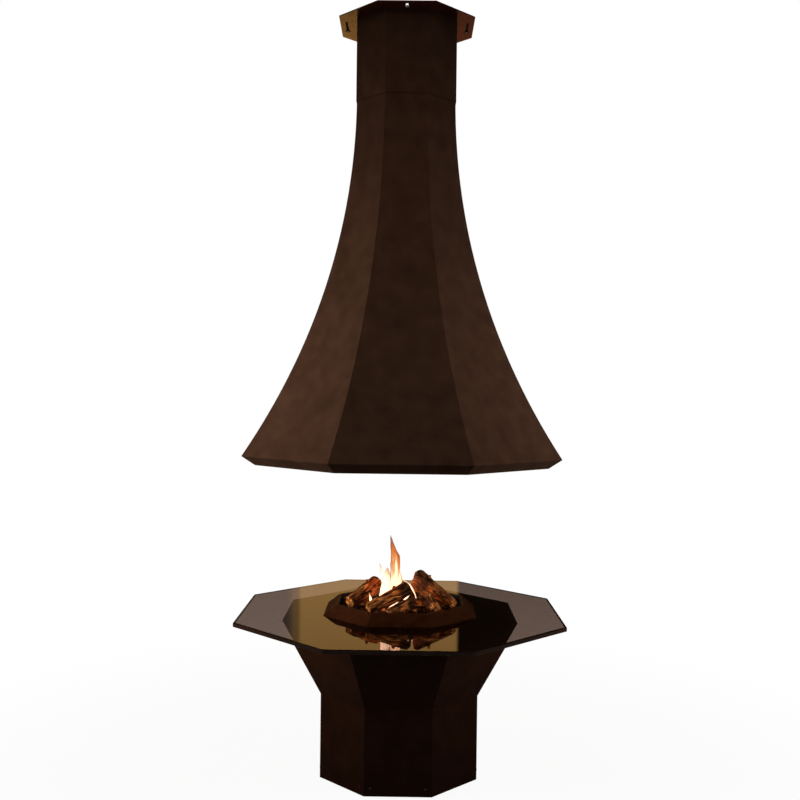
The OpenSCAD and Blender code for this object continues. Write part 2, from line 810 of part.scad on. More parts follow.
module log_back_left() {
  log_body(LOG_BACK_LEFT);
}

module log_front() {
  log_body(LOG_FRONT);
}

module log_small() {
  log_body(LOG_SMALL);
}

module log_back_right() {
  log_body(LOG_BACK_RIGHT);
}

module log_front_right() {
  log_body(LOG_FRONT_RIGHT);
}

module log_pins() {
  color("gray") for (l = all_logs()) for (t = l[5])
    translate([log_at(l, t)[0], log_at(l, t)[1], pan_top_z])
      cylinder(d = log_pin_d, h = pin_top(l, t) - pan_top_z);
}

// Broken lump with a flat underside
module chunk(size, turn) {
  intersection() {
    rotate(turn) translate([-size / 2, -size / 2, 0]) cube([size, size, 0.8 * size]);
    rotate([35, 20, turn + 30]) cube(1.15 * size, center = true);
    rotate([-30, 40, turn]) cube(1.2 * size, center = true);
  }
}

module ember_chunks() {
  color("orangered") for (c = CHUNKS)
    translate([fire_unit * c[0], fire_unit * c[1], ember_top_z]) chunk(fire_unit * c[2], c[3]);
}

// --- gas line and controls
module tube_solid(d, wall, h) {
  difference() {
    cylinder(d = d, h = h);
    bore(d - 2 * wall, h);
  }
}

module elbow(d, wall, bend) {
  rotate_extrude(angle = 90) translate([bend, 0]) difference() {
    circle(d = d);
    circle(d = d - 2 * wall);
  }
}

// Up, across towards the front and up again, with a bend at each turn
module crank_pipe(d, wall, bend, from, across_y, turn_z, to_z) {
  translate(from) tube_solid(d, wall, turn_z - bend - from[2]);
  translate([from[0], from[1] - bend, turn_z - bend]) rotate([90, 0, 90]) elbow(d, wall, bend);
  translate([from[0], from[1] - bend, turn_z]) rotate([90, 0, 0])
    tube_solid(d, wall, from[1] - across_y - 2 * bend);
  translate([from[0], across_y + bend, turn_z + bend]) rotate([90, 0, 90]) rotate(180) elbow(d, wall, bend);
  translate([from[0], across_y, turn_z + bend]) tube_solid(d, wall, to_z - turn_z - bend);
}

module gas_inlet() {
  color("gray") translate([supply_x, supply_y, inlet_z]) tube_solid(inlet_d, inlet_wall, cock_z - inlet_z);
}

module cock_body() {
  hex_af = 28;
  stem_d = 10;
  spigot_l = lever_t + lever_hub_h + 2 * RUN;
  cap_h = 2;
  color("goldenrod") translate([supply_x, supply_y, cock_z]) {
    difference() {
      union() {
        for (z = [0, cock_h - cock_hex_h]) translate([0, 0, z])
          cylinder(d = hex_af / cos(30), h = cock_hex_h, $fn = 6);
        translate([0, 0, cock_hex_h]) cylinder(d = cock_d, h = cock_h - 2 * cock_hex_h);
      }
      bore(supply_d - 2 * burner_wall, cock_h);
    }
    translate([0, cock_d / 2 - CUT, cock_h / 2]) rotate([-90, 0, 0]) {
      cylinder(d = stem_d, h = stem_l + CUT);
      cylinder(d = lever_bore_d, h = CUT + stem_l + spigot_l);
      translate([0, 0, CUT + stem_l + spigot_l]) cylinder(d = stem_d, h = cap_h);
    }
  }
}

// Flat lever on the cock's stem; it points up when the gas is on
module cock_lever() {
  hub_d = 16;
  arm_w = 9;
  tip_d = 15;
  color("crimson") translate([supply_x, supply_y + cock_d / 2 + stem_l + RUN, cock_z + cock_h / 2])
    rotate([-90, 0, 0]) difference() {
      union() {
        linear_extrude(lever_t) {
          circle(d = hub_d);
          translate([-arm_w / 2, -lever_l]) square([arm_w, lever_l]);
          translate([0, -lever_l]) circle(d = tip_d);
        }
        cylinder(d = hub_d - 4, h = lever_t + lever_hub_h);
      }
      bore(lever_bore_d + 2 * RUN, lever_t + lever_hub_h);
    }
}

module supply_pipe() {
  from_z = cock_z + cock_h;
  turn_z = control_z - supply_bend;
  color("peru") translate([supply_x, supply_y, 0]) {
    translate([0, 0, from_z]) tube_solid(supply_d, burner_wall, turn_z - from_z);
    translate([supply_bend, 0, turn_z]) rotate([90, 0, 0]) rotate(90)
      elbow(supply_d, burner_wall, supply_bend);
    translate([supply_bend, 0, control_z]) rotate([0, 90, 0])
      tube_solid(supply_d, burner_wall, -supply_x - supply_bend - valve_w / 2);
  }
}

module valve_bracket() {
  panel_h = panel_top_z - plinth_wall;
  color("dimgray") difference() {
    translate([-panel_w / 2, panel_y, plinth_wall]) {
      cube([panel_w, panel_t, panel_h]);
      cube([panel_w, panel_foot, panel_t]);
      for (x = [0, panel_w - panel_t]) translate([x, -panel_fin, 0]) cube([panel_t, panel_fin + CUT, panel_h]);
    }
    translate([0, panel_y, control_z]) rotate([-90, 0, 0]) bore(spindle_d + 2 * SLIP, panel_t);
    translate([button_x, panel_y, control_z]) rotate([-90, 0, 0]) bore(button_d + 2 * SLIP, panel_t);
    translate([0, anchor_r, plinth_wall]) bore(anchor_d + 2 * SLIP, panel_t);
  }
}

module gas_valve() {
  boss_af = 26;
  motor_d = 30;
  motor_l = 12;
  color("lightgray") difference() {
    union() {
      translate([-valve_w / 2, panel_y - valve_d, control_z - valve_h / 2]) cube([valve_w, valve_d, valve_h]);
      translate([0, riser_y, control_z + valve_h / 2])
        cylinder(d = boss_af / cos(30), h = valve_boss_h, $fn = 6);
      translate([0, panel_y - valve_d, control_z]) rotate([90, 0, 0]) cylinder(d = motor_d, h = motor_l);
    }
    translate([0, panel_y, control_z]) rotate([90, 0, 0]) bore(spindle_d + 2 * RUN, valve_d / 2);
  }
}

module gas_riser() {
  color("peru") crank_pipe(riser_d, burner_wall, riser_bend,
    [0, riser_y, control_z + valve_h / 2 + valve_boss_h], 0, riser_turn_z, manifold_z);
}

module pilot_tube() {
  color("peru") crank_pipe(pilot_d, pilot_wall, riser_bend, [pilot_x, riser_y, control_z + valve_h / 2], 0,
    riser_turn_z, pilot_top_z);
}

// Piezo igniter with the terminal at its inner end
module igniter_body() {
  terminal_l = 10;
  color("ivory") translate([button_x, panel_y, control_z]) rotate([90, 0, 0]) difference() {
    union() {
      cylinder(d = igniter_d, h = igniter_l);
      cylinder(d = terminal_d, h = igniter_l + terminal_l);
    }
    bore(button_d + 2 * RUN, button_in);
  }
}

module igniter_button() {
  cap_d = 16;
  cap_h = 3;
  stem_h = button_in - SLIP + panel_t + CUT;
  color("firebrick") translate([button_x, panel_y - button_in + button_push + SLIP, control_z])
    rotate([-90, 0, 0]) {
      cylinder(d = button_d, h = stem_h);
      translate([0, 0, stem_h]) cylinder(d1 = cap_d, d2 = cap_d - 2, h = cap_h);
    }
}

module valve_spindle() {
  color("silver") translate([0, panel_y - valve_d / 2 + SLIP, control_z]) rotate([-90, 0, 0])
    cylinder(d = spindle_d, h = valve_d / 2 - SLIP + panel_t + knob_gap + knob_grip);
}

module control_knob() {
  skirt_h = 4;
  skirt_w = 3;
  wing_w = 6;
  color("black") translate([0, panel_y + panel_t + knob_gap, control_z]) rotate([-90, 0, 0]) difference() {
    union() {
      cylinder(d = knob_d, h = skirt_h);
      translate([0, 0, skirt_h])
        cylinder(d1 = knob_d - 2 * skirt_w, d2 = knob_d - 4 * skirt_w, h = knob_h - 1.5 * skirt_h);
      translate([-wing_w / 2, 2 * skirt_w - knob_d / 2, skirt_h])
        cube([wing_w, knob_d - 4 * skirt_w, knob_h - skirt_h]);
    }
    translate([0, 0, -CUT]) cylinder(d = spindle_d + 2 * RUN, h = CUT + knob_grip + knob_push + SLIP);
  }
}

ceiling_plate();
ceiling_sleeve();
sleeve_brackets();
bracket_screws();
hanger_rods();
rod_nuts_upper();
rod_nuts_lower();
neck_tube();
flue_plate();
flue_collar();
hood_panel(1);  // hood_panel_1
hood_panel(2);  // hood_panel_2
hood_panel(3);  // hood_panel_3
hood_panel(4);  // hood_panel_4
hood_panel(5);  // hood_panel_5
hood_panel(6);  // hood_panel_6
hood_panel(7);  // hood_panel_7
hood_panel(8);  // hood_panel_8
hood_lip();
glass_top();
glass_pads();
pedestal_flare();
seam_bolts();
plinth_shell();
base_frame();
base_screws();
fire_tray();
burner_pan();
pan_feet();
burner_tubes();
pilot_burner();
spark_electrode();
ember_bed();
log_pins();
log_back_left();
log_front();
log_small();
log_back_right();
log_front_right();
ember_chunks();
gas_inlet();
cock_body();
cock_lever();
supply_pipe();
valve_bracket();
gas_valve();
gas_riser();
pilot_tube();
igniter_body();
igniter_button();
valve_spindle();
control_knob();
door_panel();
door_pull();
door_magnet();
hinge_leaves();
hinge_flaps();
hinge_pins();
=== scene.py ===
"""Looks of a hanging gas fireplace: finishes for its steel, glass and gas parts, and its logs,
embers, flames and a plain studio."""

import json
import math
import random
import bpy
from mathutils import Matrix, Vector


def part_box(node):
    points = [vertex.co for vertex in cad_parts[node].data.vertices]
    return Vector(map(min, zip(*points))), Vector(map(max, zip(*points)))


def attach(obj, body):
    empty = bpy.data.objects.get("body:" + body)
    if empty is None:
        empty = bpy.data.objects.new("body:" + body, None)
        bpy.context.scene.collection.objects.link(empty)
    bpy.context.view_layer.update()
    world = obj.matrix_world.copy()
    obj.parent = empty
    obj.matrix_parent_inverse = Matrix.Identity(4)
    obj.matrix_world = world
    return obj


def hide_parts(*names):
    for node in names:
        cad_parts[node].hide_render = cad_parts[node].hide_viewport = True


bl_info = {
    "name": "Hanging Fireplace",
    "version": (1, 0, 0),
    "blender": (4, 5, 0),
    "location": "View3D > Sidebar > Fireplace",
    "description": "Finishes, logs, embers, flames and a studio for a hanging gas fireplace",
    "category": "Object",
}

import bmesh
import bpy
from bpy.props import FloatProperty, FloatVectorProperty, IntProperty, PointerProperty
from mathutils import Matrix, Vector

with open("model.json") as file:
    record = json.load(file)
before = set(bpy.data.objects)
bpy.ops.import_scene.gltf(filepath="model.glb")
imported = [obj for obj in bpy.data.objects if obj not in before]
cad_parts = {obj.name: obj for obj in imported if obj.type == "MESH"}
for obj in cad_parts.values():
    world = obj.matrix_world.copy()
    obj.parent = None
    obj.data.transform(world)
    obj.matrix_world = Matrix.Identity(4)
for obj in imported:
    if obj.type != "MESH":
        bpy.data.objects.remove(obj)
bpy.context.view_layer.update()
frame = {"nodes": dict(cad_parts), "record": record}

MM = 0.001

# Tops of the glass and of the ember bed, from which the flames and logs are measured
GLASS_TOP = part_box("glass_top")[1].z
EMBER_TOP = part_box("ember_bed")[1].z
# Where the logs glow most, in part painted firelight, where the embers glow most, and where the
# flames' light comes from
HOT_AND_FIRELIT_LOGS = (-0.035, -0.045, GLASS_TOP + 0.09)
HOT_EMBERS = (-0.03, -0.03, EMBER_TOP)
FIRE = (-0.02, -0.03, GLASS_TOP + 0.115)

# Half the turn from one corner of an octagon to the next
HALF_CORNER = math.radians(22.5)

# Sockets that have no name of their own: a Map Range node's, a Mix node's colours and its mix
VALUE, LOW, HIGH, OUT_LOW, OUT_HIGH = range(5)
COLOUR_A, COLOUR_B = 6, 7
MIXED = 2

# Each log: low end, high end, radius at each end, how much of the thick end's radius is left on
# its split side, a number that varies its bark, how far along it the soot starts, and how fast the
# soot thickens from there, or thins below 0, which lightens the log: painted light. Millimetres
# from the middle of the ember bed.
LOGS = {
    "log_back_left": ((-181.3, -100.3, 23.7), (-86, 3.4, 73), 22.3, 34.2, 0.6, 1, 0.6, 0.6),
    "log_front": ((-111.7, -173.3, 19.8), (27.4, -90.1, 69.8), 18.7, 32.8, 0.8, 2, 0.7, 4.0),
    "log_small": ((-42.2, -196.1, 13), (45.6, -141.4, 39), 12.5, 17, 0.9, 3, 0.6, 0.9),
    "log_back_right": ((189.2, -94.6, 20.5), (56.5, 13.9, 89.6), 18.9, 41.5, 0.6, 4, 0.6, 0.6),
    # The front right log's soot thins: painted light on its lit front
    "log_front_right": ((126.5, -164.2, 19.2), (90.3, -83.9, 46.1), 18, 23.7, 0.8, 5, 0.0, -0.6),
}


def linear(hex_colour):
    """An sRGB hex colour as the linear numbers that a shader takes."""
    parts = [int(hex_colour[i : i + 2], 16) / 255 for i in (1, 3, 5)]
    return tuple(c / 12.92 if c <= 0.04045 else ((c + 0.055) / 1.055) ** 2.4 for c in parts)


def rgba(hex_colour):
    return (*linear(hex_colour), 1.0)


# --- modelling helpers


def deselect():
    if bpy.context.object and bpy.context.object.mode != "OBJECT":
        bpy.ops.object.mode_set(mode="OBJECT")
    bpy.ops.object.select_all(action="DESELECT")


def only(piece):
    deselect()
    piece.select_set(True)
    bpy.context.view_layer.objects.active = piece


def named(name):
    """Names the piece that was just added and brings its place into its mesh."""
    piece = bpy.context.object
    piece.name = name
    piece.data.name = name
    bpy.ops.object.transform_apply(location=True, rotation=True, scale=True)
    return piece


def octagon(name, reach, depth, middle, ends="NGON"):
    """Adds an upright octagon: its reach from axis to flats, its depth, and its middle's height."""
    deselect()
    bpy.ops.mesh.primitive_cylinder_add(
        vertices=8,
        radius=reach / math.cos(HALF_CORNER),
        depth=depth,
        end_fill_type=ends,
        location=(0, 0, middle),
        rotation=(0, 0, HALF_CORNER),
    )
    return named(name)


def twin(pattern):
    """A copy of a piece, with a mesh of its own."""
    piece = pattern.copy()
    piece.data = pattern.data.copy()
    bpy.context.scene.collection.objects.link(piece)
    return piece


def pick(piece, wanted=lambda middle, normal: True):
    """Goes to edit mode and selects the faces whose middle and normal pass the test, or all."""
    bpy.ops.object.mode_set(mode="EDIT")
    bpy.context.tool_settings.mesh_select_mode = (False, False, True)
    mesh = bmesh.from_edit_mesh(piece.data)
    for face in mesh.faces:
        face.select_set(False)
    for face in mesh.faces:
        if wanted(face.calc_center_median(), face.normal):
            face.select_set(True)
    bmesh.update_edit_mesh(piece.data)


def apply(piece, kind, **settings):
    """Puts a modifier on a piece and applies it."""
    only(piece)
    modifier = piece.modifiers.new(kind.lower(), kind)
    for key, value in settings.items():
        setattr(modifier, key, value)
    bpy.ops.object.modifier_apply(modifier=modifier.name)


def relief(name, kind, **settings):
    """A procedural relief that a Displace modifier reads."""
    texture = bpy.data.textures.new(name, kind)
    for key, value in settings.items():
        setattr(texture, key, value)
    return texture


def roughen(piece, texture, depth, level=0.5, coords="LOCAL", **more):
    """Pushes a piece's surface in and out by a relief."""
    more.update(texture=texture, strength=depth, mid_level=level, texture_coords=coords)
    apply(piece, "DISPLACE", **more)


def keep(piece, name, values, kind="FLOAT", field="value"):
    """Keeps one value for each point of a piece, for its material to read."""
    points = piece.data.attributes.new(name, kind, "POINT").data
    for point, value in zip(points, values):
        setattr(point, field, value)


def join(pieces, name):
    deselect()
    for piece in pieces:
        piece.select_set(True)
    bpy.context.view_layer.objects.active = pieces[0]
    if len(pieces) > 1:
        bpy.ops.object.join()
    return named(name)


def dress(piece, material):
    piece.data.materials.clear()
    piece.data.materials.append(material)


def dress_node(name, material):
    """Gives one CAD node its material."""
    for place in frame["nodes"][name].material_slots:
        place.material = material


def dress_slot(slot, material):
    """Gives every CAD node of one finish its material."""
    for part in frame["record"]["subparts"]:
        if part["material_slot"] == slot:
            dress_node(part["node"], material)


def settle(piece, material, body, slot, *replaced):
    """Gives a new piece its material and its body, and hides the CAD nodes that it replaces. The
    slot is not used.
    """
    dress(piece, material)
    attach(piece, body)
    if replaced:
        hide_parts(*replaced)


# --- material helpers


def fill(tree, node, inputs):
    """Fills or links a node's inputs, each by its name or its number."""
    for key, value in inputs.items():
        if isinstance(value, bpy.types.NodeSocket):
            tree.links.new(value, node.inputs[key])
        else:
            node.inputs[key].default_value = value


def add(tree, kind, inputs=None, stops=None, **settings):
    """Adds a node and sets its properties, its ramp and its inputs. The ramp's colours are hex
    values or linear numbers."""
    node = tree.nodes.new("ShaderNode" + kind)
    for key, value in settings.items():
        setattr(node, key, value)
    if stops:
        elements = node.color_ramp.elements
        while len(elements) < len(stops):
            elements.new(0.5)
        for element, (place, colour) in zip(elements, stops):
            element.position = place
            element.color = rgba(colour) if isinstance(colour, str) else colour
    fill(tree, node, inputs or {})
    return node


def new_material(name):
    """A material with one shader and its output, and the place that its patterns are read from."""
    material = bpy.data.materials.new(name)
    material.use_nodes = True
    tree = material.node_tree
    tree.nodes.clear()
    shader = add(tree, "BsdfPrincipled")
    add(tree, "OutputMaterial", {"Surface": shader.outputs[0]})
    return material, tree, shader, add(tree, "TexCoord").outputs["Object"]


def per_metre(size_mm):
    """The scale at which a pattern's details are size_mm across."""
    return 1000 / size_mm


def noise(tree, place, size_mm, detail, **more):
    """Soft noise with patches size_mm across."""
    inputs = {"Vector": place, "Scale": per_metre(size_mm), "Detail": detail, **more}
    return add(tree, "TexNoise", inputs).outputs["Fac"]


def mottled(tree, place, size_mm, dark, light, detail=4.0):
    """Soft patches of two colours, size_mm across."""
    patches = noise(tree, place, size_mm, detail)
    return add(tree, "ValToRGB", {"Fac": patches}, stops=[(0.3, dark), (0.7, light)]).outputs[0]


def uneven(tree, place, size_mm, detail, low, high):
    """Roughness that wanders between two values, in patches size_mm across."""
    marks = noise(tree, place, size_mm, detail)
    return add(tree, "MapRange", {VALUE: marks, OUT_LOW: low, OUT_HIGH: high}).outputs[0]


def grain_bump(tree, place, size_mm, height_mm, strength, detail=2.0):
    """The normals of a surface with fine relief."""
    grain = noise(tree, place, size_mm, detail)
    inputs = {"Height": grain, "Distance": height_mm * MM, "Strength": strength}
    return add(tree, "Bump", inputs).outputs["Normal"]


def glow_near(tree, place, spot, reach, pattern, hot, most):
    """How much a pattern's high parts glow: less and less over the reach from the spot."""
    far = add(tree, "VectorMath", {0: place, 1: spot}, operation="DISTANCE").outputs["Value"]
    near = {VALUE: far, LOW: reach[0], HIGH: reach[1], OUT_LOW: 1.0, OUT_HIGH: 0.0}
    high = {VALUE: pattern, LOW: hot[0], HIGH: hot[1], OUT_LOW: 0.0, OUT_HIGH: most}
    near = add(tree, "MapRange", near).outputs[0]
    high = add(tree, "MapRange", high).outputs[0]
    return add(tree, "Math", {0: near, 1: high}, operation="MULTIPLY").outputs[0]


# --- materials


def powder_coat(name, dark, light, roughness, patch_mm=60):
    """Polyester powder coat, sprayed on sheet steel and baked. The eye sees a satin film with faint
    orange peel, and patches a little lighter where dust and handling have dulled it."""
    material, tree, shader, place = new_material(name)
    coat = {
        "Base Color": mottled(tree, place, patch_mm, dark, light, detail=6.0),
        "Roughness": uneven(tree, place, 35, 5.0, roughness - 0.06, roughness + 0.08),
        # Real orange peel is about 2 mm across; drawn at 5 mm so that it shows
        "Normal": grain_bump(tree, place, 5, 0.15, 0.25),
        "Specular IOR Level": 0.12,
    }
    fill(tree, shader, coat)
    return material


def smoked_glass(tint, density):
    """Float glass tinted in the melt, 15 mm thick, with polished edges. It darkens with the length
    of the light's path, so the edges look nearly black. Its faces are flat to a hair, with a slow
    wave."""
    material, tree, shader, place = new_material("smoked float glass")
    sheet = {
        "Base Color": (1, 1, 1, 1),
        "Roughness": 0.0,
        "Normal": grain_bump(tree, place, 160, 0.12, 0.3),
        "Transmission Weight": 1.0,
        "IOR": 1.5,
    }
    fill(tree, shader, sheet)
    absorb = add(tree, "VolumeAbsorption", {"Color": (*tint, 1), "Density": density})
    fill(tree, tree.nodes["Material Output"], {"Volume": absorb.outputs[0]})
    return material


def worked_metal(name, dark, light, roughness, patch_mm, bump_mm, stretch=(1, 1, 1)):
    """Bare or plated metal: two tones in patches, roughness that wanders in patches of its own, and
    the marks that the making left."""
    material, tree, shader, place = new_material(name)
    along = add(tree, "Mapping", {"Vector": place, "Scale": stretch}).outputs["Vector"]
    metal = {
        "Base Color": mottled(tree, along, patch_mm, dark, light),
        "Roughness": uneven(tree, along, bump_mm, 3.0, roughness - 0.08, roughness + 0.1),
        "Normal": grain_bump(tree, along, bump_mm, 0.1, 0.3),
        "Metallic": 1.0,
    }
    fill(tree, shader, metal)
    return material


def galvanised_steel():
    """Hot-dip galvanised steel: zinc freezes in flat crystals about 12 mm across, each with its own
    tone and gloss."""
    material, tree, shader, place = new_material("galvanised steel")
    crystal = add(tree, "TexVoronoi", {"Vector": place, "Scale": per_metre(12)}).outputs["Color"]
    tone = add(tree, "ValToRGB", {"Fac": crystal}, stops=[(0.2, "#83878a"), (0.8, "#b4b8ba")])
    gloss = add(tree, "MapRange", {VALUE: crystal, OUT_LOW: 0.3, OUT_HIGH: 0.5})
    zinc = {"Base Color": tone.outputs[0], "Roughness": gloss.outputs[0], "Metallic": 1.0}
    fill(tree, shader, zinc)
    return material


def moulded_plastic(name, dark, light, roughness, bump_mm=1.2):
    """Injection-moulded plastic: one colour all through, with the mould's fine spark texture."""
    material, tree, shader, place = new_material(name)
    plastic = {
        "Base Color": mottled(tree, place, 8, dark, light),
        "Roughness": roughness,
        "Normal": grain_bump(tree, place, bump_mm, 0.06, 0.3),
        "IOR": 1.49,
    }
    fill(tree, shader, plastic)
    return material


def clear_silicone():
    """Cast silicone bumper: cloudy and see-through, with a soft skin."""
    material, tree, shader, place = new_material("clear silicone")
    rubber = {
        "Base Color": mottled(tree, place, 6, "#c9c8c2", "#dedcd6"),
        "Roughness": 0.35,
        "Normal": grain_bump(tree, place, 2, 0.05, 0.3),
        "IOR": 1.41,
        "Transmission Weight": 0.5,
    }
    fill(tree, shader, rubber)
    return material


def log_ceramic():
    """Ceramic fibre, vacuum formed in bark-shaped moulds and painted by hand: brown ridges, dark
    cracks, sooty patches, and a sawn end with rings. The grain attribute runs along each log."""
    material, tree, shader, place = new_material("painted ceramic fibre log")
    grain = add(tree, "Attribute", attribute_name="grain").outputs["Vector"]
    end = add(tree, "Attribute", attribute_name="sawn_end").outputs["Fac"]
    charring_and_painted_light = add(tree, "Attribute", attribute_name="charring_and_painted_light").outputs["Fac"]
    # Bark ridges are about 7 mm wide and six times as long
    along = add(tree, "Mapping", {"Vector": grain, "Scale": (1, 1, 0.16)}).outputs["Vector"]
    ridges = noise(tree, along, 7, 8.0, Distortion=0.8)
    tones = [(0.36, "#0a0503"), (0.44, "#41200c"), (0.53, "#7c451d"), (0.67, "#b87434")]
    bark = add(tree, "ValToRGB", {"Fac": ridges}, stops=tones)
    # Soot lies in patches, and thickly on the high end of each log, in the flames. Below 0 the
    # attribute thins the soot and lightens the log: painted light
    soot = {0: noise(tree, grain, 34, 5.0), 1: charring_and_painted_light}
    soot = add(tree, "Math", soot, operation="ADD").outputs[0]
    soot = {VALUE: soot, LOW: 0.47, HIGH: 0.7, OUT_LOW: 0.0, OUT_HIGH: 0.88}
    soot = add(tree, "MapRange", soot).outputs[0]
    burnt = {"Factor": soot, COLOUR_A: bark.outputs[0], COLOUR_B: rgba("#0f0705")}
    burnt = add(tree, "Mix", burnt, data_type="RGBA").outputs[MIXED]
    # Year rings on the sawn ends are about 4 mm apart; drawn at 16 mm so that they show. The wave
    # texture repeats every 0.32 of its unit.
    flat = add(tree, "SeparateXYZ", {0: grain}).outputs
    flat = add(tree, "CombineXYZ", {0: flat[0], 1: flat[1]}).outputs[0]
    rings = {"Vector": flat, "Scale": 0.32 * per_metre(16), "Distortion": 3.0, "Detail": 3.0}
    rings = add(tree, "TexWave", rings, wave_type="RINGS", rings_direction="SPHERICAL")
    rings = {"Fac": rings.outputs["Fac"]}
    sawn = add(tree, "ValToRGB", rings, stops=[(0.2, "#150a06"), (0.8, "#3a1e0f")])
    colour = {"Factor": end, COLOUR_A: burnt, COLOUR_B: sawn.outputs[0]}
    bump = add(tree, "Bump", {"Height": ridges, "Distance": 2 * MM, "Strength": 0.7})
    # Ridges close to the flames glow, where soot leaves them bare: partly the fibre's own heat, and
    # partly painted firelight
    glow = glow_near(tree, place, HOT_AND_FIRELIT_LOGS, (0.04, 0.105), ridges, (0.42, 0.62), 0.9)
    bare = {VALUE: charring_and_painted_light, LOW: 0.0, HIGH: 0.6, OUT_LOW: 1.0, OUT_HIGH: 0.0}
    level = {0: glow, 1: add(tree, "MapRange", bare).outputs[0]}
    fibre = {
        "Base Color": add(tree, "Mix", colour, data_type="RGBA").outputs[MIXED],
        "Roughness": 0.85,
        "Normal": bump.outputs["Normal"],
        "Specular IOR Level": 0.25,
        "Emission Color": rgba("#e0561c"),
        "Emission Strength": add(tree, "Math", level, operation="MULTIPLY").outputs[0],
    }
    fill(tree, shader, fibre)
    return material


def ember_fibre(glow):
    """Vermiculite and ceramic wool: dull brown and grey crumbs that glow orange near the burner."""
    material, tree, shader, place = new_material("glowing ember fibre")
    crumbs = add(tree, "TexVoronoi", {"Vector": place, "Scale": per_metre(7)}).outputs["Color"]
    tones = [(0.1, "#0d0705"), (0.5, "#2a160c"), (0.95, "#5a3a24")]
    cracks = noise(tree, place, 16, 4.0)
    level = {0: glow_near(tree, place, HOT_EMBERS, (0.03, 0.13), cracks, (0.5, 0.7), 1.0), 1: glow}
    fibre = {
        "Base Color": add(tree, "ValToRGB", {"Fac": crumbs}, stops=tones).outputs[0],
        "Roughness": 0.95,
        "Normal": grain_bump(tree, place, 4, 1.0, 0.8, detail=5.0),
        "Specular IOR Level": 0.1,
        "Emission Color": rgba("#ff7a28"),
        "Emission Strength": add(tree, "Math", level, operation="MULTIPLY").outputs[0],
    }
    fill(tree, shader, fibre)
    return material


def flame_gas(name, tones, strength=3.4):
    """Burning gas: it gives light, hides little, and goes from near white at its heart to orange at
    its edges and tip. Streaks 12 mm wide and eight times as tall rise through it. The cooling
    attribute is 0 at the heart. Each tone is a place, a colour and a brightness."""
    material, tree, shader, place = new_material(name)
    tall = add(tree, "Mapping", {"Vector": place, "Scale": (1, 1, 0.12)}).outputs["Vector"]
    streak = noise(tree, tall, 12, 3.0)
    wander = {VALUE: streak, LOW: 0.3, HIGH: 0.7, OUT_LOW: -0.2, OUT_HIGH: 0.16}
    cooling = add(tree, "Attribute", attribute_name="cooling").outputs["Fac"]
    heat = {0: cooling, 1: add(tree, "MapRange", wander).outputs[0]}
    heat = add(tree, "Math", heat, operation="ADD").outputs[0]
    # The ramp's colours are shares of the strength, as the heart is brighter than white
    stops = [
        (at, (*(part * level / strength for part in linear(tone)), 1)) for at, tone, level in tones
    ]
    veil = {VALUE: heat, LOW: 0.7, HIGH: 1.05, OUT_LOW: 1.0, OUT_HIGH: 0.55}
    gas = {
        "Base Color": (0, 0, 0, 1),
        "Roughness": 1.0,
        "Specular IOR Level": 0.0,
        "Alpha": add(tree, "MapRange", veil).outputs[0],
        "Emission Color": add(tree, "ValToRGB", {"Fac": heat}, stops=stops).outputs[0],
        "Emission Strength": strength,
    }
    fill(tree, shader, gas)
    return material


# --- settings that a user would change


class SteelSettings(bpy.types.PropertyGroup):
    roughness: FloatProperty(
        name="Satin",
        description="Roughness of the powder coat",
        default=0.5,
        min=0.1,
        max=0.9,
        subtype="FACTOR",
    )


class GlassSettings(bpy.types.PropertyGroup):
    tint: FloatVectorProperty(
        name="Tint",
        description="Colour that the glass lets through",
        default=(0.307, 0.138, 0.035),
        subtype="COLOR",
    )
    density: FloatProperty(
        name="Density", description="How fast the glass darkens, per metre", default=110.0, min=0.0
    )


class LogSettings(bpy.types.PropertyGroup):
    ridge: FloatProperty(
        name="Bark depth",
        description="Depth of the bark's ridges",
        default=4 * MM,
        unit="LENGTH",
        min=0.0,
    )
    fineness: FloatProperty(
        name="Fineness",
        description="Size of the smallest bark detail",
        default=2.6 * MM,
        unit="LENGTH",
        min=1 * MM,
    )


class FireSettings(bpy.types.PropertyGroup):
    lumps: IntProperty(
        name="Ember lumps", description="Number of loose ember lumps", default=90, min=0
    )
    glow: FloatProperty(
        name="Glow", description="Strength of the embers' glow", default=1.2, min=0.0
    )
    firelight: FloatProperty(
        name="Firelight",
        description="Power of the light that the flames give",
        default=4.0,
        unit="POWER",
        min=0.0,
    )


def lamp_power(name, which, watts):
    """A setting for a lamp's power."""
    return FloatProperty(
        name=name, description="Power of the " + which, default=watts, unit="POWER", min=0.0
    )


class StudioSettings(bpy.types.PropertyGroup):
    ambient: FloatProperty(
        name="Ambient", description="Even light from all round", default=0.31, min=0.0
    )
    key: lamp_power("Key", "big lamp on the left", 14.3)
    fill: lamp_power("Fill", "lamp on the right", 8.7)
    tray: lamp_power("Tray", "narrow lamps at the fire tray's sides", 0.5)
    front: lamp_power("Front", "lamp high in front", 0.45)
    glow: lamp_power("Glow", "warm lamps low behind", 2.3)


# --- the pieces


class FIREPLACE_OT_coat_steel(bpy.types.Operator):
    """Gives hood, sleeve, ceiling plate, pedestal, tray and door their dark brown coat"""

    bl_idname = "fireplace.coat_steel"
    bl_label = "Coat the Steel"

    def execute(self, context):
        satin = context.scene.fireplace_steel.roughness
        brown = powder_coat("dark brown powder coat", "#342015", "#402a1d", satin)
        dress_slot("brown_paint", brown)
        # The pedestal's and the tray's coats are darker copies of the brown coat: painted shade.
        # The ceiling plate's is glossier, and lighter: painted light on its underside
        deep = powder_coat("brown coat with painted shade", "#1e0b03", "#271206", satin)
        dress_node("pedestal_flare", deep)
        dress_node("plinth_shell", deep)
        dress_node("fire_tray", powder_coat("tray coat with painted shade", "#1c0a03", "#2a1306", satin, 25))
        gloss = powder_coat("glossy brown coat with painted light", "#43200f", "#552c16", 0.22)
        dress_node("ceiling_plate", gloss)
        dress_slot("black_steel", powder_coat("black stove enamel", "#0b0a0a", "#161413", 0.6, 25))
        dress_slot("red_paint", powder_coat("red lever enamel", "#8c1410", "#a01c14", 0.3, 12))
        return {"FINISHED"}


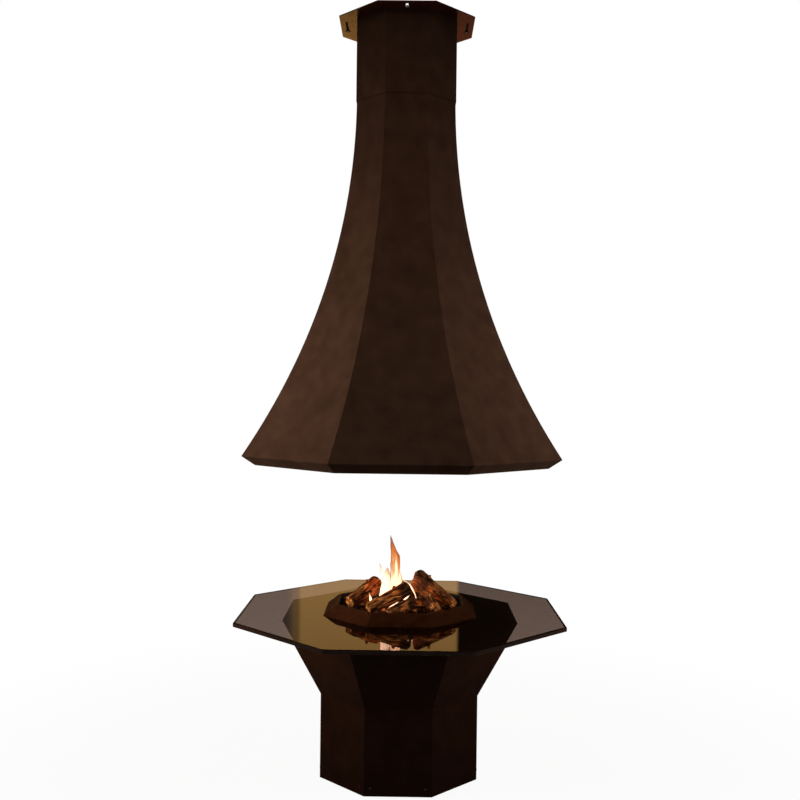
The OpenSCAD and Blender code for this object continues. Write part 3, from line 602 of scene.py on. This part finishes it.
class FIREPLACE_OT_glaze_table(bpy.types.Operator):
    """Gives the glass top its smoked tint and dark edge, and the pads under it their silicone"""

    bl_idname = "fireplace.glaze_table"
    bl_label = "Glaze the Table"

    def execute(self, context):
        glass = context.scene.fireplace_glass
        dress_slot("smoked_glass", smoked_glass(glass.tint, glass.density))
        dress_slot("clear_pad", clear_silicone())
        # The edge soaks up the light that runs along the sheet, so a band inside it is nearly
        # black. The band stands a hair proud of the flats, and short of the upper and lower faces.
        low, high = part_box("glass_top")
        proud, short = 0.2 * MM, 3 * MM
        middle = (low.z + high.z) / 2
        edge = octagon("glass_edge", high.x + proud, high.z - low.z - short, middle, "NOTHING")
        apply(edge, "SOLIDIFY", thickness=7 * MM, offset=-1.0, use_even_offset=True)
        dark = moulded_plastic("polished glass edge", "#190d08", "#24150d", 0.15, 3)
        settle(edge, dark, "root", "smoked_glass")
        return {"FINISHED"}


class FIREPLACE_OT_finish_fittings(bpy.types.Operator):
    """Gives screws, rods, pipes, valve, knob and igniter their metals and plastics"""

    bl_idname = "fireplace.finish_fittings"
    bl_label = "Finish the Fittings"

    # Finish of each slot: name, two tones, roughness, the sizes in millimetres of its patches and
    # of the marks of its making, and how the marks stretch
    METALS = {
        "zinc_steel": ("zinc plated steel", "#9a9da0", "#c2c4c2", 0.38, 14, 2),
        # Stainless steel goes straw and blue where the burner runs hot
        "burner_steel": ("heat tinted stainless", "#5a5560", "#8a7256", 0.4, 22, 3),
        # Drawn pipe: fine lines run with its length
        "copper_pipe": ("drawn copper", "#9c5134", "#c27a55", 0.32, 18, 3, (1, 1, 0.2)),
        "brass": ("machined brass", "#b08a3c", "#d0ac5c", 0.28, 16, 2),
        "cast_alloy": ("die cast aluminium", "#8e9092", "#a9abad", 0.5, 10, 2.5),
    }
    # The same without patches, and with the size of the mould's texture last
    PLASTICS = {
        "black_plastic": ("black phenolic", "#0c0c0d", "#151516", 0.42),
        "ivory_plastic": ("ivory nylon", "#cfc4a6", "#ddd3b8", 0.4),
        "red_plastic": ("red acetal", "#a0140f", "#b01d16", 0.3),
        "white_ceramic": ("glazed steatite", "#e6e3da", "#f2efe8", 0.12, 4),
    }

    def execute(self, context):
        for slot, finish in self.METALS.items():
            dress_slot(slot, worked_metal(*finish))
        # The screws at the plinth's foot are browned, so they hardly show on the dark coat
        dress_node("base_screws", worked_metal("browned steel", "#80544a", "#966658", 0.6, 12, 2))
        dress_slot("flue_steel", galvanised_steel())
        for slot, finish in self.PLASTICS.items():
            dress_slot(slot, moulded_plastic(*finish))
        return {"FINISHED"}


class FIREPLACE_OT_lay_logs(bpy.types.Operator):
    """Models the ceramic logs: tapered, split along one side, with a branch stub and ridged bark"""

    bl_idname = "fireplace.lay_logs"
    bl_label = "Lay the Logs"

    # How much longer than wide the bark's ridges are
    STRETCH = 6
    # The stub of a branch: its radius and length as shares of the log's end radii, where along the
    # log it grows, how far off the middle, and how many degrees it leans
    STUB_RADIUS, STUB_LENGTH, STUB_ALONG, STUB_OFF, STUB_LEAN = 0.3, 1.15, 0.6, -0.2, -60
    # Each relief of the bark: name, the size of its details in metres, how far it is detailed, its
    # kind of noise, its share of the bark's depth, and its mid level
    RELIEFS = (
        ("log swell", 0.04, 1, "BLENDER_ORIGINAL", 1.3, 0.5),
        ("bark ridges", 0.012, 1, "VORONOI_F2_F1", 0.85, 0.35),
        ("bark splinters", 0.006, 2, "BLENDER_ORIGINAL", 0.5, 0.5),
    )
    # The sawn end: how deep it reaches, and the least height of its normals
    SAWN_DEEP, SAWN_UP = 4 * MM, 0.55

    def block(self, name, length, r_low, r_high, split):
        """A tapered, split log standing on its low end, with its ends rounded and its stub on."""
        deselect()
        bpy.ops.mesh.primitive_cylinder_add(
            vertices=18, radius=r_low, depth=length, location=(0, 0, length / 2)
        )
        log = named(name)
        pick(log, lambda middle, normal: normal.z > 0.9)
        taper = r_high / r_low
        bpy.ops.transform.resize(value=(taper, taper, 1), center_override=(0, 0, length))
        pick(log)
        bpy.ops.mesh.bisect(
            plane_co=(0, split * r_high, 0), plane_no=(0, 1, 0), use_fill=True, clear_outer=True
        )
        pick(log, lambda middle, normal: abs(normal.z) > 0.9)
        bpy.ops.mesh.bevel(offset=0.18 * r_low, segments=2, affect="EDGES")
        deselect()
        bpy.ops.mesh.primitive_cylinder_add(
            vertices=12, radius=self.STUB_RADIUS * r_low, depth=self.STUB_LENGTH * r_high
        )
        stub = named(name + "_stub")
        stub.data.transform(
            Matrix.Translation((self.STUB_OFF * r_low, 0, self.STUB_ALONG * length))
            @ Matrix.Rotation(math.radians(self.STUB_LEAN), 4, "Y")
            @ Matrix.Translation((0, 0, self.STUB_LENGTH / 2 * r_high))
        )
        return join([log, stub], name)

    def model(self, name, settings):
        low, high, r_low, r_high, split, bark, soot_from, soot_and_light_rate = LOGS[name]
        low, high = Vector(low) * MM, Vector(high) * MM
        run = high - low
        length = run.length
        log = self.block(name + "_bark", length, r_low * MM, r_high * MM, split)
        apply(log, "REMESH", mode="VOXEL", voxel_size=settings.fineness)
        # Bark is long-grained: the reliefs are read from a space stretched along the log, and from
        # another place for each log
        deselect()
        bpy.ops.object.empty_add(location=(0, 0, -1.7 * bark))
        stretch = bpy.context.object
        stretch.scale = (1, 1, self.STRETCH)
        bpy.context.view_layer.update()
        for title, size, detail, kind, share, level in self.RELIEFS:
            texture = relief(
                title, "CLOUDS", noise_scale=size, noise_depth=detail, noise_basis=kind
            )
            depth = share * settings.ridge
            roughen(log, texture, depth, level, "OBJECT", texture_coords_object=stretch)
        bpy.data.objects.remove(stretch)
        only(log)
        bpy.ops.object.shade_smooth()
        points = log.data.vertices
        grain = [point.co + Vector((0, 0, 0.4 * bark)) for point in points]
        past_soot = [point.co.z / length - soot_from for point in points]
        sawn = [
            length - point.co.z < self.SAWN_DEEP and point.normal.z > self.SAWN_UP
            for point in points
        ]
        keep(log, "grain", grain, "FLOAT_VECTOR", "vector")
        keep(log, "charring_and_painted_light", [max(part, 0.0) * soot_and_light_rate for part in past_soot])
        keep(log, "sawn_end", [float(end) for end in sawn])
        tilt = math.acos(run.z / length)
        heading = math.atan2(run.y, run.x)
        log.data.transform(
            Matrix.Translation(low + Vector((0, 0, EMBER_TOP)))
            @ Matrix.Rotation(heading, 4, "Z")
            @ Matrix.Rotation(tilt, 4, "Y")
        )
        return log

    def execute(self, context):
        material = log_ceramic()
        for name in LOGS:
            log = self.model(name, context.scene.fireplace_logs)
            settle(log, material, "root", "log_ceramic", name)
        return {"FINISHED"}


class FIREPLACE_OT_spread_embers(bpy.types.Operator):
    """Models the ember bed with its crumbly top, and the loose lumps on it"""

    bl_idname = "fireplace.spread_embers"
    bl_label = "Spread the Embers"

    # How far from the middle the lumps lie, in metres, and the seed that scatters them
    REACH = 0.195
    SEED = 11

    def bed(self):
        low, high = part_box("ember_bed")
        bed = octagon("ember_crumbs", high.x, high.z - low.z, (low.z + high.z) / 2)
        apply(bed, "REMESH", mode="VOXEL", voxel_size=3 * MM)
        crumbs = relief("crumbs", "CLOUDS", noise_scale=0.016, noise_depth=4)
        roughen(bed, crumbs, 11 * MM, direction="Z")
        bpy.ops.object.shade_smooth()
        return bed

    def lump_patterns(self):
        """Three broken lumps, from which the others are copied."""
        patterns = []
        for k in range(3):
            deselect()
            bpy.ops.mesh.primitive_ico_sphere_add(subdivisions=3, radius=1.0)
            lump = named("lump_pattern_%d" % k)
            rough = relief("broken faces", "VORONOI", noise_scale=0.9, distance_metric="DISTANCE")
            # Each is broken at another place of the relief
            away = Vector((3.1 * k, 1.7 * k, 0.9 * k))
            lump.data.transform(Matrix.Translation(away))
            roughen(lump, rough, 0.75, 0.4)
            lump.data.transform(Matrix.Translation(-away))
            patterns.append(lump)
        return patterns

    def execute(self, context):
        settings = context.scene.fireplace_fire
        material = ember_fibre(settings.glow)
        settle(self.bed(), material, "root", "ember_fibre", "ember_bed")
        patterns = self.lump_patterns()
        chance = random.Random(self.SEED)
        lumps = []
        while len(lumps) < settings.lumps:
            away = self.REACH * math.sqrt(chance.random())
            turn = chance.uniform(0, math.tau)
            size = chance.uniform(5, 11) * MM
            spot = Vector((away * math.cos(turn), away * math.sin(turn), EMBER_TOP + 0.3 * size))
            lump = twin(chance.choice(patterns))
            shape = Matrix.Diagonal((chance.uniform(0.8, 1.3), chance.uniform(0.7, 1.1), 0.75, 1))
            turned = Matrix.Rotation(chance.uniform(0, math.tau), 4, "Z")
            lump.data.transform(Matrix.Translation(spot) @ turned @ shape @ Matrix.Scale(size, 4))
            lumps.append(lump)
        for pattern in patterns:
            bpy.data.objects.remove(pattern)
        lumps = join(lumps, "ember_lumps")
        bpy.ops.object.shade_smooth_by_angle(angle=math.radians(40))
        settle(lumps, material, "root", "ember_fibre", "ember_chunks")
        return {"FINISHED"}


class FIREPLACE_OT_light_flames(bpy.types.Operator):
    """Models the flames: each grows ring by ring from the burner to its tip"""

    bl_idname = "fireplace.light_flames"
    bl_label = "Light the Flames"

    # Each ring: height over the glass, x, y, half width, half depth, in millimetres
    FLAMES = {
        "flame_tall": (
            (35, -14, -36, 15, 13),
            (60, -16, -38, 20, 15),
            (95, -18, -42, 24, 16),
            (125, -16, -46, 22, 14),
            (150, -19, -48, 19, 12),
            (178, -20, -50, 17, 11),
            (200, -19, -50, 18, 10),
            (216, -22, -50, 14, 8),
            (240, -30, -50, 8, 5),
            (266, -35, -50, 4, 3),
        ),
        "flame_white": (
            (40, -62, -20, 14, 12),
            (60, -58, -24, 20, 15),
            (90, -52, -30, 21, 15),
            (115, -50, -36, 17, 12),
            (135, -50, -40, 13, 9),
            (152, -48, -42, 7, 5),
        ),
        "flame_wisp": (
            (100, -60, -36, 8, 5),
            (125, -62, -40, 9, 5),
            (148, -66, -42, 6, 4),
            (170, -74, -44, 2, 2),
        ),
        # Small ones between the logs
        "flame_low_1": (
            (30, -46, -171, 3, 3),
            (38, -40, -170, 6, 4),
            (48, -29, -167, 7, 4),
            (56, -18, -164, 5, 3),
            (62, -8, -161, 3, 2),
        ),
        "flame_low_2": ((64, 12, -138, 3, 3), (70, 20, -136, 5, 3), (78, 29, -134, 3, 2)),
        "flame_low_3": ((40, -106, -72, 5, 4), (54, -106, -70, 5, 3), (68, -110, -68, 2, 2)),
        "flame_low_4": (
            (57, 57, -78, 1, 1),
            (71, 54, -78, 1.5, 1),
            (92, 43, -78, 3, 2),
            (111, 30, -78, 5, 3),
            (122, 14, -78, 4, 3),
            (126, 3, -78, 2, 2),
        ),
    }
    # Each tone: how cool the gas is, its colour and its brightness
    TALL_TONES = (
        (0.0, "#ffb890", 3.4),
        (0.43, "#ffb890", 2.4),
        (0.51, "#fac898", 1),
        (0.6, "#f6ac70", 1),
        (0.71, "#e07c3c", 1),
        (0.82, "#c8621c", 0.95),
        (0.95, "#9a4810", 0.8),
    )
    WHITE_TONES = (
        (0.0, "#ffb890", 3.4),
        (0.68, "#ffc4a0", 2.6),
        (0.86, "#fbd9ae", 1.1),
        (1.0, "#f0a868", 0.9),
    )
    # The tip goes on from the last ring by this share of the last step
    TIP = 0.8
    # Flames sway by half their width, and by no more than this
    MOST_SWAY = 7

    def grow(self, name, rings):
        z, x, y, wide, deep = rings[0]
        deselect()
        bpy.ops.mesh.primitive_circle_add(vertices=14, radius=1, fill_type="NGON")
        flame = bpy.context.object
        flame.name = name
        flame.data.name = name
        bpy.ops.object.mode_set(mode="EDIT")
        bpy.ops.mesh.select_all(action="SELECT")
        bpy.ops.transform.resize(value=(wide * MM, deep * MM, 1))
        bpy.ops.transform.translate(value=(x * MM, y * MM, GLASS_TOP + z * MM))
        before = rings[0]
        for ring in rings[1:]:
            step = [(ring[k] - before[k]) * MM for k in (1, 2, 0)]
            bpy.ops.mesh.extrude_region_move(TRANSFORM_OT_translate={"value": step})
            middle = (ring[1] * MM, ring[2] * MM, GLASS_TOP + ring[0] * MM)
            bpy.ops.transform.resize(
                value=(ring[3] / before[3], ring[4] / before[4], 1), center_override=middle
            )
            before = ring
        tip = [(before[k] - rings[-2][k]) * MM * self.TIP for k in (1, 2, 0)]
        bpy.ops.mesh.extrude_region_move(TRANSFORM_OT_translate={"value": tip})
        bpy.ops.mesh.merge(type="CENTER")
        bpy.ops.mesh.select_all(action="SELECT")
        bpy.ops.mesh.normals_make_consistent(inside=False)
        deselect()
        apply(flame, "SUBSURF", levels=2, render_levels=2)
        flicker = relief(name + " flicker", "CLOUDS", noise_scale=0.03, noise_depth=1)
        roughen(flame, flicker, min(self.MOST_SWAY, 0.5 * max(ring[3] for ring in rings)) * MM)
        bpy.ops.object.shade_smooth()
        cooling = [self.cooled(rings, point.co) for point in flame.data.vertices]
        keep(flame, "cooling", cooling)
        return flame

    def cooled(self, rings, spot):
        """How far a place is from the flame's heart: 0 low in its middle, about 1 at its tip. It
        cools fast towards its left edge and slowly towards its right one."""
        height = (spot.z - GLASS_TOP) / MM
        low, high = rings[0][0], rings[-1][0]
        for under, over in zip(rings, rings[1:]):
            if height <= over[0] or over is rings[-1]:
                break
        part = min(max((height - under[0]) / (over[0] - under[0]), 0.0), 1.0)
        middle = under[1] + (over[1] - under[1]) * part
        wide = under[3] + (over[3] - under[3]) * part
        side = max(min((spot.x / MM - middle) / wide, 1.2), -1.2)
        edge = 0.8 * side**8 if side < 0 else 0.35 * side**4
        return 0.95 * (height - low) / (high - low) + edge

    def execute(self, context):
        tall = flame_gas("tall flame", self.TALL_TONES)
        white = flame_gas("white flame", self.WHITE_TONES)
        for name, rings in self.FLAMES.items():
            gas = tall if name == "flame_tall" else white
            settle(self.grow(name, rings), gas, "root", "ember_fibre")
        return {"FINISHED"}


class FIREPLACE_OT_fit_ceiling_screws(bpy.types.Operator):
    """Models the screws in the ceiling plate's keyhole slots, and black sheets and washers at two
    slots: painted shade in the slots
    """

    bl_idname = "fireplace.fit_ceiling_screws"
    bl_label = "Fit the Ceiling Screws"

    # Middles of the slots' round ends, in millimetres; the two side slots come first
    SPOTS = ((-217.75, 41.5), (217.75, 41.5), (0, -197.25), (0, 216.25))
    # The black sheet over a side slot, painted shade where the ceiling behind would darken it: its
    # width, length and thickness, its middle's y, and its middle's height over the plate's lower
    # face, which keeps it just below the upper one
    TAPE, TAPE_Y, TAPE_UP = (24, 132, 0.8), -8.5, 3.2
    # Radii of a screw's head and of a washer, and the washer's thickness
    HEAD_RADIUS, WASHER_RADIUS, WASHER_THICK = 6.2, 9.5, 1

    def screw_pattern(self):
        """A pan head with a rounded rim and a round recess, and the start of its shank."""
        deselect()
        bpy.ops.mesh.primitive_cylinder_add(
            vertices=24, radius=self.HEAD_RADIUS * MM, depth=3 * MM
        )
        pattern = named("screw_pattern")
        pick(pattern, lambda middle, normal: normal.z < -0.9)
        bpy.ops.mesh.bevel(offset=1.4 * MM, segments=3, affect="EDGES")
        pick(pattern, lambda middle, normal: normal.z < -0.99)
        bpy.ops.mesh.inset(thickness=2.2 * MM)
        bpy.ops.mesh.extrude_region_move(TRANSFORM_OT_translate={"value": (0, 0, 1.2 * MM)})
        pick(pattern, lambda middle, normal: normal.z > 0.9)
        bpy.ops.mesh.inset(thickness=3.4 * MM)
        bpy.ops.mesh.extrude_region_move(TRANSFORM_OT_translate={"value": (0, 0, 3 * MM)})
        deselect()
        return pattern

    # A black sheet in a side slot: painted shade
    def shade_sheet(self, x, plate):
        deselect()
        place = (x * MM, self.TAPE_Y * MM, plate + self.TAPE_UP * MM)
        bpy.ops.mesh.primitive_cube_add(size=1, location=place)
        bpy.ops.transform.resize(value=[side * MM for side in self.TAPE])
        shade_sheet = named("slot_shade_sheet")
        pick(shade_sheet)
        bpy.ops.mesh.bevel(offset=0.3 * MM, segments=1, affect="EDGES")
        return shade_sheet

    # A washer round a side slot's screw, whose black is painted shade in the slot's round end
    def washer(self, x, y, plate):
        deselect()
        bpy.ops.mesh.primitive_cylinder_add(
            vertices=24,
            radius=self.WASHER_RADIUS * MM,
            depth=self.WASHER_THICK * MM,
            location=(x * MM, y * MM, plate - 0.5 * self.WASHER_THICK * MM),
        )
        washer = named("black_shade_washer")
        pick(washer, lambda middle, normal: normal.z < -0.9)
        bpy.ops.mesh.bevel(offset=0.3 * MM, segments=2, affect="EDGES")
        return washer

    def execute(self, context):
        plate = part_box("ceiling_plate")[0].z
        pattern = self.screw_pattern()
        screws = [twin(pattern) for spot in self.SPOTS]
        for screw, (x, y) in zip(screws, self.SPOTS):
            screw.data.transform(Matrix.Translation((x * MM, y * MM, plate)))
        bpy.data.objects.remove(pattern)
        screws = join(screws, "ceiling_screw_heads")
        sides = self.SPOTS[:2]
        # Black sheets over the two side slots, and black washers round their screws: painted shade
        # where the ceiling behind would darken the slots
        shade_pieces = [self.shade_sheet(x, plate) for x, y in sides]
        shade_pieces += [self.washer(x, y, plate) for x, y in sides]
        shade_pieces = join(shade_pieces, "slot_shade_pieces")
        black = moulded_plastic("black painted shade sheet", "#0c0705", "#170e0b", 0.7, 3)
        settle(shade_pieces, black, "root", "black_plastic")
        only(screws)
        bpy.ops.object.shade_smooth_by_angle(angle=math.radians(35))
        # The zinc heads are drawn pale and matt, a painted glint in place of their shine from below
        pale_glint = moulded_plastic("pale zinc with painted glint", "#b8b2a8", "#d2ccc2", 0.45, 2)
        settle(screws, pale_glint, "root", "zinc_steel")
        return {"FINISHED"}


class FIREPLACE_OT_set_stage(bpy.types.Operator):
    """Sets the pale floor, the soft lamps, the room's light and the camera"""

    bl_idname = "fireplace.set_stage"
    bl_label = "Set the Stage"

    # Where the photograph was taken from: place, and turn, tilt and roll in degrees
    PLACE = (0.0193, -3.602, 1.368)
    TURN, TILT, ROLL = -0.466, -0.444, 0.689
    LENS_MM = 44.39

    # Where the floor starts and ends fading into the white, and how far the plinth's inside goes,
    # in metres from the middle
    FADE = (0.7, 2.2)
    PLINTH = 0.265

    # What gloss sees behind the fireplace, from left to right: a dim wall, a tan one, a dark one
    WALL = (
        (0.0, "#2a1e16"),
        (0.3, "#52463e"),
        (0.382, "#584c44"),
        (0.3845, "#8c6c46"),
        (0.391, "#94724a"),
        (0.394, "#ce9e5c"),
        (0.5523, "#ce9e5c"),
        (0.5533, "#1c120b"),
        (0.6, "#1c120b"),
        (0.66, "#2c221a"),
        (1.0, "#241a12"),
    )

    # Each lamp: its place and aim, its size, its spread in degrees, its colour, and the setting
    # that its power comes from with its share of that
    LAMPS = {
        "key_lamp": ((-2.9, -0.6, 1.45), (0, 0, 1.15), 1.4, 50, "#f6fbff", "key", 1),
        "fill_lamp": ((2.9, -0.55, 1.4), (0, 0, 1.15), 1.4, 50, "#f6fbff", "fill", 1),
        # Two narrow ones light the side walls of the fire tray
        "tray_lamp_left": ((-2.9, -0.5, 1.0), (-0.2, -0.17, 0.63), 0.3, 9, "#fff0e0", "tray", 1),
        "tray_lamp_right": ((2.9, -0.5, 1.0), (0.2, -0.17, 0.63), 0.3, 9, "#fff0e0", "tray", 0.44),
        "front_lamp": ((-0.9, -3.3, 3.3), (0, 0, 2.1), 0.8, 26, "#ffe0d0", "front", 1),
        # Two stand low behind the fireplace
        "glow_lamp": ((-0.9, 7.3, 0.2), (-0.24, 0, 2.7), 1.5, 60, "#f0a850", "glow", 1),
        "rust_lamp": ((0.75, 7.3, 0.2), (0.24, 0, 2.7), 1.3, 60, "#e06a38", "glow", 0.3),
    }

    def seen_white(self, tree):
        """The light's path, and 1 for what the eye sees straight or through glass, else 0."""
        path = add(tree, "LightPath").outputs
        direct = add(tree, "Math", {0: path["Glossy Depth"], 1: 0.5}, operation="LESS_THAN")
        through = {0: path["Is Transmission Ray"], 1: direct.outputs[0]}
        through = add(tree, "Math", through, operation="MULTIPLY")
        both = {0: path["Is Camera Ray"], 1: through.outputs[0]}
        return path, add(tree, "Math", both, operation="MAXIMUM").outputs[0]

    def floor(self):
        deselect()
        bpy.ops.mesh.primitive_grid_add(x_subdivisions=4, y_subdivisions=4, size=30)
        floor = named("studio_floor")
        material, tree, shader, place = new_material("white studio floor")
        path, seen = self.seen_white(tree)
        # Mid grey to the lamps, so that it throws little light up, and white to the eye
        grey, white = rgba("#8c8682"), rgba("#f4f2ee")
        tone = {"Factor": path["Is Camera Ray"], COLOUR_A: grey, COLOUR_B: white}
        tone = add(tree, "Mix", tone, data_type="RGBA").outputs[MIXED]
        fill(tree, shader, {"Base Color": tone, "Roughness": 0.9, "Specular IOR Level": 0.0})
        away = add(tree, "VectorMath", {0: place}, operation="LENGTH").outputs["Value"]
        fade = {VALUE: away, LOW: self.FADE[0], HIGH: self.FADE[1], OUT_LOW: 0.94, OUT_HIGH: 1.0}
        fade = add(tree, "MapRange", fade).outputs[0]
        # Inside the plinth, where only the glass lets the eye in, the floor stays dark
        outside = add(tree, "Math", {0: away, 1: self.PLINTH}, operation="GREATER_THAN")
        lit = add(tree, "Math", {0: seen, 1: outside.outputs[0]}, operation="MULTIPLY")
        shown = add(tree, "Math", {0: lit.outputs[0], 1: fade}, operation="MULTIPLY")
        white = add(tree, "Emission", {"Color": (1, 1, 1, 1), "Strength": 1.0})
        mix = {0: shown.outputs[0], 1: shader.outputs[0], 2: white.outputs[0]}
        mix = add(tree, "MixShader", mix)
        fill(tree, tree.nodes["Material Output"], {"Surface": mix.outputs[0]})
        dress(floor, material)

    def room(self, ambient):
        """White to the eye and through glass; to gloss, a dim room with a tan wall behind."""
        world = bpy.data.worlds.new("studio")
        bpy.context.scene.world = world
        world.use_nodes = True
        tree = world.node_tree
        tree.nodes.clear()
        path, seen = self.seen_white(tree)
        ray = add(tree, "SeparateXYZ", {0: add(tree, "TexCoord").outputs["Generated"]}).outputs
        side = add(tree, "Math", {0: ray[0], 1: ray[1]}, operation="DIVIDE").outputs[0]
        side = add(tree, "MapRange", {VALUE: side, LOW: -0.5, HIGH: 0.5}).outputs[0]
        wall = add(tree, "ValToRGB", {"Fac": side}, stops=self.WALL).outputs[0]
        ahead = add(tree, "Math", {0: ray[1], 1: 0.0}, operation="GREATER_THAN").outputs[0]
        around = {"Factor": ahead, COLOUR_A: rgba("#1c140f"), COLOUR_B: wall}
        around = add(tree, "Mix", around, data_type="RGBA").outputs[MIXED]
        gloss = add(tree, "Background", {"Color": around, "Strength": 1.0}).outputs[0]
        soft = {"Color": rgba("#fff4e8"), "Strength": ambient}
        soft = add(tree, "Background", soft).outputs[0]
        white = add(tree, "Background", {"Color": (1, 1, 1, 1), "Strength": 1.0}).outputs[0]
        # What the glass's lower face mirrors comes back through its upper face
        mirrored = {0: path["Is Glossy Ray"], 1: path["Is Transmission Ray"]}
        mirrored = add(tree, "Math", mirrored, operation="MAXIMUM").outputs[0]
        lit = add(tree, "MixShader", {0: mirrored, 1: soft, 2: gloss}).outputs[0]
        whole = add(tree, "MixShader", {0: seen, 1: lit, 2: white}).outputs[0]
        add(tree, "OutputWorld", {"Surface": whole})

    def lamp(self, name, studio):
        place, aim, size, spread, colour, setting, share = self.LAMPS[name]
        deselect()
        bpy.ops.object.light_add(type="AREA", location=place)
        lamp = bpy.context.object
        lamp.name = name
        lamp.data.shape = "DISK"
        lamp.data.size = size
        lamp.data.spread = math.radians(spread)
        lamp.data.energy = share * getattr(studio, setting)
        lamp.data.color = linear(colour)
        lamp.visible_camera = False
        lamp.visible_transmission = False
        # Gloss mirrors only the two behind, in the underside of the ceiling plate
        lamp.visible_glossy = setting == "glow"
        lamp.rotation_euler = (Vector(aim) - Vector(place)).to_track_quat("-Z", "Y").to_euler()

    def firelight(self, power):
        deselect()
        bpy.ops.object.light_add(type="POINT", location=FIRE)
        fire = bpy.context.object
        fire.name = "firelight"
        fire.data.energy = power
        fire.data.color = linear("#ffb878")
        fire.visible_glossy = False
        fire.data.shadow_soft_size = 0.03

    def camera(self):
        turn, tilt, roll = (math.radians(a) for a in (self.TURN, self.TILT, self.ROLL))
        flat = math.cos(tilt)
        ahead = Vector((math.sin(turn) * flat, math.cos(turn) * flat, math.sin(tilt)))
        level = Vector((math.cos(turn), -math.sin(turn), 0))
        over = level.cross(ahead)
        right = level * math.cos(roll) + over * math.sin(roll)
        up = over * math.cos(roll) - level * math.sin(roll)
        deselect()
        bpy.ops.object.camera_add()
        camera = bpy.context.object
        camera.name = "photograph_view"
        camera.data.lens = self.LENS_MM
        camera.data.sensor_width = 36
        camera.data.clip_end = 100
        columns = Matrix((right, up, -ahead)).transposed().to_4x4()
        camera.matrix_world = Matrix.Translation(self.PLACE) @ columns
        bpy.context.scene.camera = camera

    def execute(self, context):
        scene = context.scene
        self.floor()
        self.room(scene.fireplace_studio.ambient)
        for name in self.LAMPS:
            self.lamp(name, scene.fireplace_studio)
        self.firelight(scene.fireplace_fire.firelight)
        self.camera()
        scene.view_settings.view_transform = "Standard"
        return {"FINISHED"}


class FIREPLACE_PT_sidebar(bpy.types.Panel):
    """Settings and steps of the fireplace"""

    bl_idname = "FIREPLACE_PT_sidebar"
    bl_label = "Fireplace"
    bl_space_type = "VIEW_3D"
    bl_region_type = "UI"
    bl_category = "Fireplace"

    def draw(self, context):
        scene = context.scene
        for group in GROUPS:
            settings = getattr(scene, group)
            box = self.layout.box()
            for name in settings.__annotations__:
                box.prop(settings, name)
        for step in STEPS:
            self.layout.operator(step.bl_idname)


GROUPS = {
    "fireplace_steel": SteelSettings,
    "fireplace_glass": GlassSettings,
    "fireplace_logs": LogSettings,
    "fireplace_fire": FireSettings,
    "fireplace_studio": StudioSettings,
}
STEPS = (
    FIREPLACE_OT_coat_steel,
    FIREPLACE_OT_glaze_table,
    FIREPLACE_OT_finish_fittings,
    FIREPLACE_OT_lay_logs,
    FIREPLACE_OT_spread_embers,
    FIREPLACE_OT_light_flames,
    FIREPLACE_OT_fit_ceiling_screws,
    FIREPLACE_OT_set_stage,
)


def register():
    for kind in (*GROUPS.values(), *STEPS, FIREPLACE_PT_sidebar):
        bpy.utils.register_class(kind)
    for name, kind in GROUPS.items():
        setattr(bpy.types.Scene, name, PointerProperty(type=kind))


def unregister():
    for name in GROUPS:
        delattr(bpy.types.Scene, name)
    for kind in reversed((*GROUPS.values(), *STEPS, FIREPLACE_PT_sidebar)):
        bpy.utils.unregister_class(kind)


def main():
    register()
    bpy.ops.fireplace.coat_steel()
    bpy.ops.fireplace.glaze_table()
    bpy.ops.fireplace.finish_fittings()
    bpy.ops.fireplace.lay_logs()
    bpy.ops.fireplace.spread_embers()
    bpy.ops.fireplace.light_flames()
    bpy.ops.fireplace.fit_ceiling_screws()
    bpy.ops.fireplace.set_stage()


if __name__ == "__main__":
    main()
